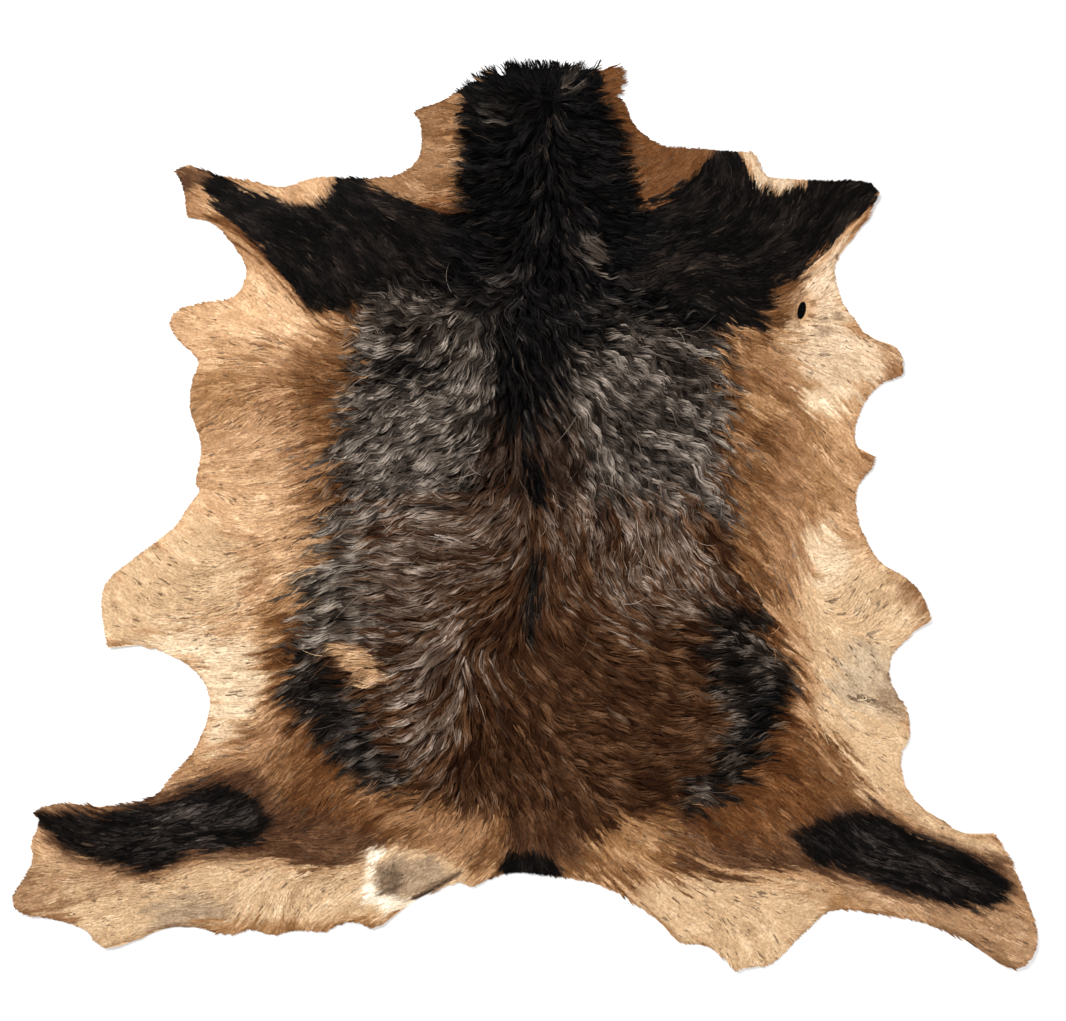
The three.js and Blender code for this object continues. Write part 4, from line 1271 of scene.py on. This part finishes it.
def ribbon_mesh(name, points, widths, colours, aside, seed):
    """One mesh of flat ribbons, faces up, each tapering to one point, with a colour for each vertex."""
    luck = np.random.default_rng(seed)
    strands, rings = points.shape[:2]
    tangent = unit(np.gradient(points, axis=1))
    level_side = unit(np.stack([-tangent[..., 1], tangent[..., 0], np.zeros((strands, rings))], axis=-1))
    roll = np.radians(luck.normal(0, ROLL_DEGREES, strands) - LOCK_ROUNDNESS_DEGREES * aside)[:, None]
    up = np.cross(tangent, level_side)
    side = level_side * np.cos(roll)[..., None] + up * np.sin(roll)[..., None]
    half = side * (widths / 2)[..., None]

    last = rings - 1
    verts = np.zeros((strands, 2 * last + 1, 3))
    verts[:, 0:2 * last:2] = (points - half)[:, :last]
    verts[:, 1:2 * last:2] = (points + half)[:, :last]
    verts[:, 2 * last] = points[:, last]
    vertex_colours = np.zeros_like(verts)
    vertex_colours[:, 0:2 * last:2] = colours[:, :last]
    vertex_colours[:, 1:2 * last:2] = colours[:, :last]
    vertex_colours[:, 2 * last] = colours[:, last]

    first = np.arange(strands)[:, None] * (2 * last + 1)
    ring = 2 * np.arange(last - 1)[None, :]
    quads = np.stack([first + ring + step for step in (0, 2, 3, 1)], axis=-1).reshape(-1, 4)
    tips = np.concatenate([first + 2 * last - 2, first + 2 * last, first + 2 * last - 1], axis=1)
    mesh = bpy.data.meshes.new(name)
    mesh.vertices.add(verts.shape[0] * verts.shape[1])
    mesh.vertices.foreach_set("co", (verts * MM).astype(np.float32).ravel())
    corners = np.concatenate([quads.ravel(), tips.ravel()])
    mesh.loops.add(len(corners))
    mesh.loops.foreach_set("vertex_index", corners.astype(np.int32))
    sizes = np.concatenate([np.full(len(quads), 4), np.full(len(tips), 3)])
    mesh.polygons.add(len(sizes))
    mesh.polygons.foreach_set("loop_start", (np.cumsum(sizes) - sizes).astype(np.int32))
    mesh.polygons.foreach_set("use_smooth", np.ones(len(sizes), bool))
    mesh.update(calc_edges=True)
    add_colours(mesh, vertex_colours.reshape(-1, 3))
    piece = bpy.data.objects.new(name, mesh)
    bpy.context.scene.collection.objects.link(piece)
    triangles = 2 * len(quads) + len(tips)
    print(name, strands, "strands", triangles, "triangles")
    return piece


# %% [markdown]
# ## Tufts and stray hairs
# The mane stands in loose tufts over the neck's edge, and single fine hairs lie across the coat. Black hair
# lies in the flaying hole and is kept dark: partly the hair round the hole, partly painted shade inside it.
# The headings of the coat don't give these, so the tufts are set one by one and the stray hairs are strewn.

# %% Loose hair
# Each row: x, y, heading, length. Tufts stand over the neck's edge; black hair in the flaying hole also
# paints its shade.
TUFTS = [
    (-56, 419, 150, 17), (-49, 423, 135, 21), (-39, 427, 122, 24), (-30, 430, 112, 25),
    (-22, 431, 128, 25), (-14, 433, 98, 25), (-6, 434, 112, 26), (3, 434, 92, 25), (10, 434, 120, 25),
    (17, 433, 78, 25), (25, 434, 55, 26), (33, 434, 88, 24), (41, 433, 48, 29), (49, 433, 66, 26),
    (57, 432, 100, 20), (66, 431, 70, 18), (75, 430, 86, 15), (-20, 420, 150, 24), (-8, 422, 128, 24),
    (4, 423, 140, 22), (14, 424, 95, 22), (24, 424, 70, 22), (34, 423, 110, 22), (44, 421, 35, 24),
    (54, 420, 60, 22), (10, 412, 200, 22), (20, 410, 250, 22), (32, 411, 285, 22), (42, 412, 330, 22),
    (26, 418, 180, 20), (30, 416, 10, 22), (18, 416, 130, 20),
]
HOLE_HAIR = [
    (268, 215, -25, 12), (267, 211, -12, 13), (267, 207, 0, 13), (268, 203, 8, 12), (269, 199, 18, 12),
    (271, 217, -50, 11), (273, 196, 40, 9), (284, 213, 190, 9), (285, 208, 180, 9), (285, 203, 178, 9),
    (284, 198, 170, 9),
]
LOOSE_LENGTH, LOOSE_TURN_DEGREES, LOOSE_CLOSING = (0.75, 1.05), 7, 0.6
LOOSE_WIDTH, LOOSE_TAPER = (0.7, 1.2), 0.8
LOOSE_TONE_LUCK, LOOSE_TIP_LIGHT = 0.14, 0.15
STRAY_COUNT, STRAY_TRIES = 500, 3
STRAY_RIM, STRAY_TURN_DEGREES = 45, 26.0
STRAY_LENGTH, STRAY_SHORTEST = (0.5, 1.1), 8


def loose_hair(name, rows, curl, lift, per_lock, steps, spread, width, level, seed, finish=None):
    """Single locks or hairs that lie over the coat; lift is the share of its depth at root and tip."""
    luck = np.random.default_rng(seed)
    rows = np.repeat(np.array(rows, float), per_lock, axis=0)
    count = len(rows)
    offset = scatter(count, spread, luck)
    s = np.linspace(0, 1, steps + 1)[None, :]
    length = rows[:, 3] * luck.uniform(*LOOSE_LENGTH, count)
    heading = np.radians(rows[:, 2] + luck.normal(0, LOOSE_TURN_DEGREES, count))[:, None]
    heading = heading + np.radians(luck.normal(0, curl, count))[:, None] * s
    pace = np.stack([np.cos(heading), np.sin(heading)], axis=-1) * (length / steps)[:, None, None]
    travel = np.concatenate([np.zeros((count, 1, 2)), np.cumsum(pace[:, :-1], axis=1)], axis=1)
    flat = rows[:, None, :2] + travel + offset[:, None, :] * (1 - LOOSE_CLOSING * s[..., None])
    base, depth = floor_and_depth(flat)
    height = base + depth * (lift[0] + (lift[1] - lift[0]) * np.sin(np.pi / 2 * s))
    points = np.concatenate([flat, height[..., None]], axis=-1)
    widths = width * luck.uniform(*LOOSE_WIDTH, count)[:, None] * (1 - LOOSE_TAPER * s**2)
    mix = finish_mix(rows[:, :2], np.full(count, MIDDLE_LUCK))
    if finish:
        mix = np.tile(np.array(FINISHES[finish], float)[None], (count, 1, 1))
    levels = level + LOOSE_TONE_LUCK * luck.normal(size=count)[:, None] + LOOSE_TIP_LIGHT * (s - 0.5)
    levels = np.clip(levels, 0, 1)
    colours = np.stack([to_linear(tone(mix, levels[:, k])) for k in range(steps + 1)], axis=1)
    return ribbon_mesh(name, points, widths, colours, np.zeros(count), seed)


def stray_rows():
    """Fine hairs that cross the lie of the coat, away from the rim."""
    luck = np.random.default_rng(SEED + 70)
    places = luck.uniform(outline.min(0), outline.max(0), (STRAY_TRIES * STRAY_COUNT, 2))
    distance, _, inside = ring_distance(places, outline)
    places = places[inside & (distance > STRAY_RIM)][:STRAY_COUNT]
    heading = np.degrees(np.arctan2(sample(flow_y, places), sample(flow_x, places)))
    heading = heading + luck.normal(0, STRAY_TURN_DEGREES, len(places))
    length = coat_at(places)["length"] * luck.uniform(*STRAY_LENGTH, len(places))
    length = np.maximum(length, STRAY_SHORTEST)
    return np.stack([places[:, 0], places[:, 1], heading, length], axis=1)


# %% [markdown]
# ## The whole coat
# The back carries long waved hair, the saddle long hair that waves less, and the legs and flanks short
# hair. Each kind has its own spacing of locks, and as few steps to a strand as its bends allow. Each is
# parted across the hide into pieces of a size that is easily handled.

# %% Grow the coat
# Each row: name, which coat it takes, root spacing, strands a lock, steps, spread and width, all in
# millimetres, and the places along Y at which its pieces are parted.
COATS = [
    ("waved_hair", "waved", 8.4, 9, 9, 4.6, 1.35, (118,)),
    ("long_hair", "long", 8.2, 11, 5, 4.8, 1.3, (-70,)),
    ("short_hair", "short", 6.2, 9, 3, 6.0, 1.9, (60, -230)),
]
WAVED_BEND = 27.0


def kind_of_coat(points):
    """Which points carry waved, long or short hair."""
    coat = coat_at(points)
    waved = coat["bend"] > WAVED_BEND
    long = ~waved & (coat["length"] > LONG_LENGTH)
    return {"waved": waved, "long": long, "short": ~waved & ~long}


def grow_piece(name, starts, per_lock, steps, spread, width, seed):
    """One piece of hair with the locks at these starts, coloured by the patches."""
    points, widths, level, aside, spots, border = grow(starts, per_lock, steps, spread, width, seed)
    near, far = (finish_mix(spot, border) for spot in spots)
    shares = smooth_step(np.linspace(0, 1, steps + 1), NEAR_SPOT, FAR_SPOT)
    mixes = [near * (1 - share) + far * share for share in shares]
    colours = np.stack([to_linear(tone(mix, level[:, k])) for k, mix in enumerate(mixes)], axis=1)
    return ribbon_mesh(name, points, widths, colours, aside, seed)


hair_pieces = []
for number, (name, kind, spacing, per_lock, steps, spread, width, partings) in enumerate(COATS):
    starts = roots(spacing, SEED + number)
    starts = starts[kind_of_coat(starts)[kind]]
    distance, _, inside = ring_distance(starts, outline)
    starts = starts[inside | (distance < spread)]
    band = np.searchsorted(-np.array(partings), -starts[:, 1])
    for k in range(len(partings) + 1):
        chosen = starts[band == k]
        seed = SEED * 100 + number * 10 + k
        hair_pieces.append(grow_piece(f"{name}_{k + 1}", chosen, per_lock, steps, spread, width, seed))

hair_pieces.append(loose_hair(
    "neck_tufts", TUFTS, curl=24, lift=(0.35, 1.0), per_lock=14, steps=6, spread=3.6, width=1.1,
    level=0.5, seed=SEED + 61,
))
# Black all round and at a low level, the hole's hair is partly painted shade inside the hole.
hair_pieces.append(loose_hair(
    "hole_hair", HOLE_HAIR, curl=14, lift=(0.05, 0.12), per_lock=18, steps=4, spread=3.2, width=1.3,
    level=0.2, seed=SEED + 62, finish="black",
))
hair_pieces.append(loose_hair(
    "stray_hair", stray_rows(), curl=45, lift=(0.75, 1.06), per_lock=1, steps=6, spread=0.1, width=0.5,
    level=0.75, seed=SEED + 63,
))

# %% [markdown]
# ## Finishes
# Hair is glossy along its length. The strand's own colour comes from its vertices, which also carry the
# painted shade where hair dives between its neighbours, so the finish adds only what is finer than a
# strand: a faint mottling and a satin gloss. The flat side of the skin is pale suede with a soft nap.

# %% Nodes that the finishes share
HAIR_SPECULAR = 0.02


def new_material(name):
    """An empty material with its shader, its nodes and its links."""
    material = bpy.data.materials.new(name)
    material.use_nodes = True
    nodes = material.node_tree.nodes
    return material, nodes["Principled BSDF"], nodes, material.node_tree.links


def noise_on_piece(nodes, links, scale, detail):
    """Noise over the piece's own coordinates; its scale is in bumps a metre."""
    place = nodes.new("ShaderNodeTexCoord")
    noise = nodes.new("ShaderNodeTexNoise")
    noise.inputs["Scale"].default_value = scale
    noise.inputs["Detail"].default_value = detail
    links.new(place.outputs["Object"], noise.inputs["Vector"])
    return noise.outputs["Fac"]


def shaded_hair_colour(nodes, links, noise, noise_range, shade_range):
    """The colour stored on the piece, darker and lighter by the noise."""
    level = nodes.new("ShaderNodeMapRange")
    level.inputs["From Min"].default_value = noise_range[0]
    level.inputs["From Max"].default_value = noise_range[1]
    level.inputs["To Min"].default_value = shade_range[0]
    level.inputs["To Max"].default_value = shade_range[1]
    colour = nodes.new("ShaderNodeAttribute")
    colour.attribute_name = HAIR_COLOUR
    shade = nodes.new("ShaderNodeVectorMath")
    shade.operation = "SCALE"
    links.new(noise, level.inputs["Value"])
    links.new(colour.outputs["Color"], shade.inputs[0])
    links.new(level.outputs["Result"], shade.inputs["Scale"])
    return shade.outputs["Vector"]


def bump(nodes, links, height, strength, distance):
    """A bumped normal from a height; the distance is in metres."""
    node = nodes.new("ShaderNodeBump")
    node.inputs["Strength"].default_value = strength
    node.inputs["Distance"].default_value = distance
    links.new(height, node.inputs["Height"])
    return node.outputs["Normal"]


# %% Hair material
HAIR_ROUGHNESS = 0.46
MOTTLE_SCALE, MOTTLE_DETAIL = 420, 2
MOTTLE_RANGE, MOTTLE_SHADE = (0.3, 0.7), (0.78, 1.22)


def hair_material():
    """Hair: the strand's own colour with a faint mottling and a satin gloss."""
    material, shader, nodes, links = new_material("goat_hair")
    shader.inputs["Roughness"].default_value = HAIR_ROUGHNESS
    shader.inputs["Specular IOR Level"].default_value = HAIR_SPECULAR
    mottle = noise_on_piece(nodes, links, MOTTLE_SCALE, MOTTLE_DETAIL)
    colour = shaded_hair_colour(nodes, links, mottle, MOTTLE_RANGE, MOTTLE_SHADE)
    links.new(colour, shader.inputs["Base Color"])
    return material


goat_hair = hair_material()
for piece in hair_pieces:
    piece.data.materials.append(goat_hair)

# %% Skin materials
BED_ROUGHNESS = 0.8
GRAIN_SCALE, GRAIN_DETAIL = 700, 3
GRAIN_RANGE, GRAIN_SHADE = (0, 1), (0.5, 1.4)
GRAIN_BUMP, GRAIN_HEIGHT = 0.6, 0.0006
SUEDE = (0.62, 0.52, 0.40, 1)
SUEDE_DARK = (0.50, 0.40, 0.29, 1)
SUEDE_ROUGHNESS, SUEDE_SHEEN = 0.92, 0.2
BLOTCH_SCALE, BLOTCH_DETAIL = 14, 5
NAP_SCALE, NAP_DETAIL, NAP_BUMP, NAP_HEIGHT = 900, 3, 0.5, 0.0004


def bed_material():
    """The hair side of the skin: the roots' colour, broken up by a fine grain."""
    material, shader, nodes, links = new_material("hair_bed")
    shader.inputs["Roughness"].default_value = BED_ROUGHNESS
    shader.inputs["Specular IOR Level"].default_value = HAIR_SPECULAR
    grain = noise_on_piece(nodes, links, GRAIN_SCALE, GRAIN_DETAIL)
    colour = shaded_hair_colour(nodes, links, grain, GRAIN_RANGE, GRAIN_SHADE)
    links.new(colour, shader.inputs["Base Color"])
    links.new(bump(nodes, links, grain, GRAIN_BUMP, GRAIN_HEIGHT), shader.inputs["Normal"])
    return material


def suede_material():
    """The flat side: pale, blotched suede with a fine nap."""
    material, shader, nodes, links = new_material("suede")
    shader.inputs["Roughness"].default_value = SUEDE_ROUGHNESS
    shader.inputs["Sheen Weight"].default_value = SUEDE_SHEEN
    blotch = noise_on_piece(nodes, links, BLOTCH_SCALE, BLOTCH_DETAIL)
    nap = noise_on_piece(nodes, links, NAP_SCALE, NAP_DETAIL)
    blend = nodes.new("ShaderNodeMix")
    blend.data_type = "RGBA"
    blend.inputs["A"].default_value = SUEDE_DARK
    blend.inputs["B"].default_value = SUEDE
    links.new(blotch, blend.inputs["Factor"])
    links.new(blend.outputs["Result"], shader.inputs["Base Color"])
    links.new(bump(nodes, links, nap, NAP_BUMP, NAP_HEIGHT), shader.inputs["Normal"])
    return material


skin_mesh.materials.append(bed_material())
skin_mesh.materials.append(suede_material())
for polygon in skin_mesh.polygons:
    polygon.material_index = 1 if polygon.normal.z < UNDERSIDE_SLOPE else 0

# %% [markdown]
# ## Fitting the pieces to the frame
# The skin stands for the imported solid, and the hair grows on it, so all ride on the one body.


for piece in [skin, *hair_pieces]:
    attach(piece, "root")
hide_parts("hide")

# %% [markdown]
# ## Floor and light
# The hide lies on a plain pale floor under soft studio light. One broad lamp from the upper left models
# the locks, and a pale surround fills their shadows.

# %% Floor and lights
FLOOR_SIZE = 6.0
FLOOR_DROP_MM = 0.3
FLOOR_COLOUR, FLOOR_ROUGHNESS, FLOOR_SPECULAR = (0.9, 0.9, 0.9, 1), 0.9, 0.1
KEY_PLACE, KEY_SIZE, KEY_POWER = (-1.1, 1.3, 2.4), 1.4, 88
FILL_PLACE, FILL_SIZE, FILL_POWER = (1.6, -1.2, 2.4), 1.8, 31
SURROUND_COLOUR, SURROUND_STRENGTH = (1, 1, 1, 1), 0.63


def floor():
    """A pale floor just under the hide, which only the picture shows."""
    mesh = bmesh.new()
    bmesh.ops.create_grid(mesh, x_segments=1, y_segments=1, size=FLOOR_SIZE / 2)
    data = bpy.data.meshes.new("floor")
    mesh.to_mesh(data)
    mesh.free()
    data.transform(Matrix.Translation((0, 0, -FLOOR_DROP_MM * MM)))
    material, shader, _, _ = new_material("pale_floor")
    shader.inputs["Base Color"].default_value = FLOOR_COLOUR
    shader.inputs["Roughness"].default_value = FLOOR_ROUGHNESS
    shader.inputs["Specular IOR Level"].default_value = FLOOR_SPECULAR
    data.materials.append(material)
    piece = bpy.data.objects.new("floor", data)
    bpy.context.scene.collection.objects.link(piece)


def soft_lamp(name, place, size, power):
    """A round area lamp that looks at the middle of the hide."""
    data = bpy.data.lights.new(name, "AREA")
    data.shape = "DISK"
    data.size = size
    data.energy = power
    lamp = bpy.data.objects.new(name, data)
    lamp.location = place
    lamp.rotation_euler = (-Vector(place)).to_track_quat("-Z", "Y").to_euler()
    bpy.context.scene.collection.objects.link(lamp)


floor()
soft_lamp("key", KEY_PLACE, KEY_SIZE, KEY_POWER)
soft_lamp("fill", FILL_PLACE, FILL_SIZE, FILL_POWER)

world = bpy.data.worlds.new("studio")
world.use_nodes = True
world.node_tree.nodes["Background"].inputs["Color"].default_value = SURROUND_COLOUR
world.node_tree.nodes["Background"].inputs["Strength"].default_value = SURROUND_STRENGTH
bpy.context.scene.world = world
bpy.context.scene.view_settings.view_transform = "Standard"
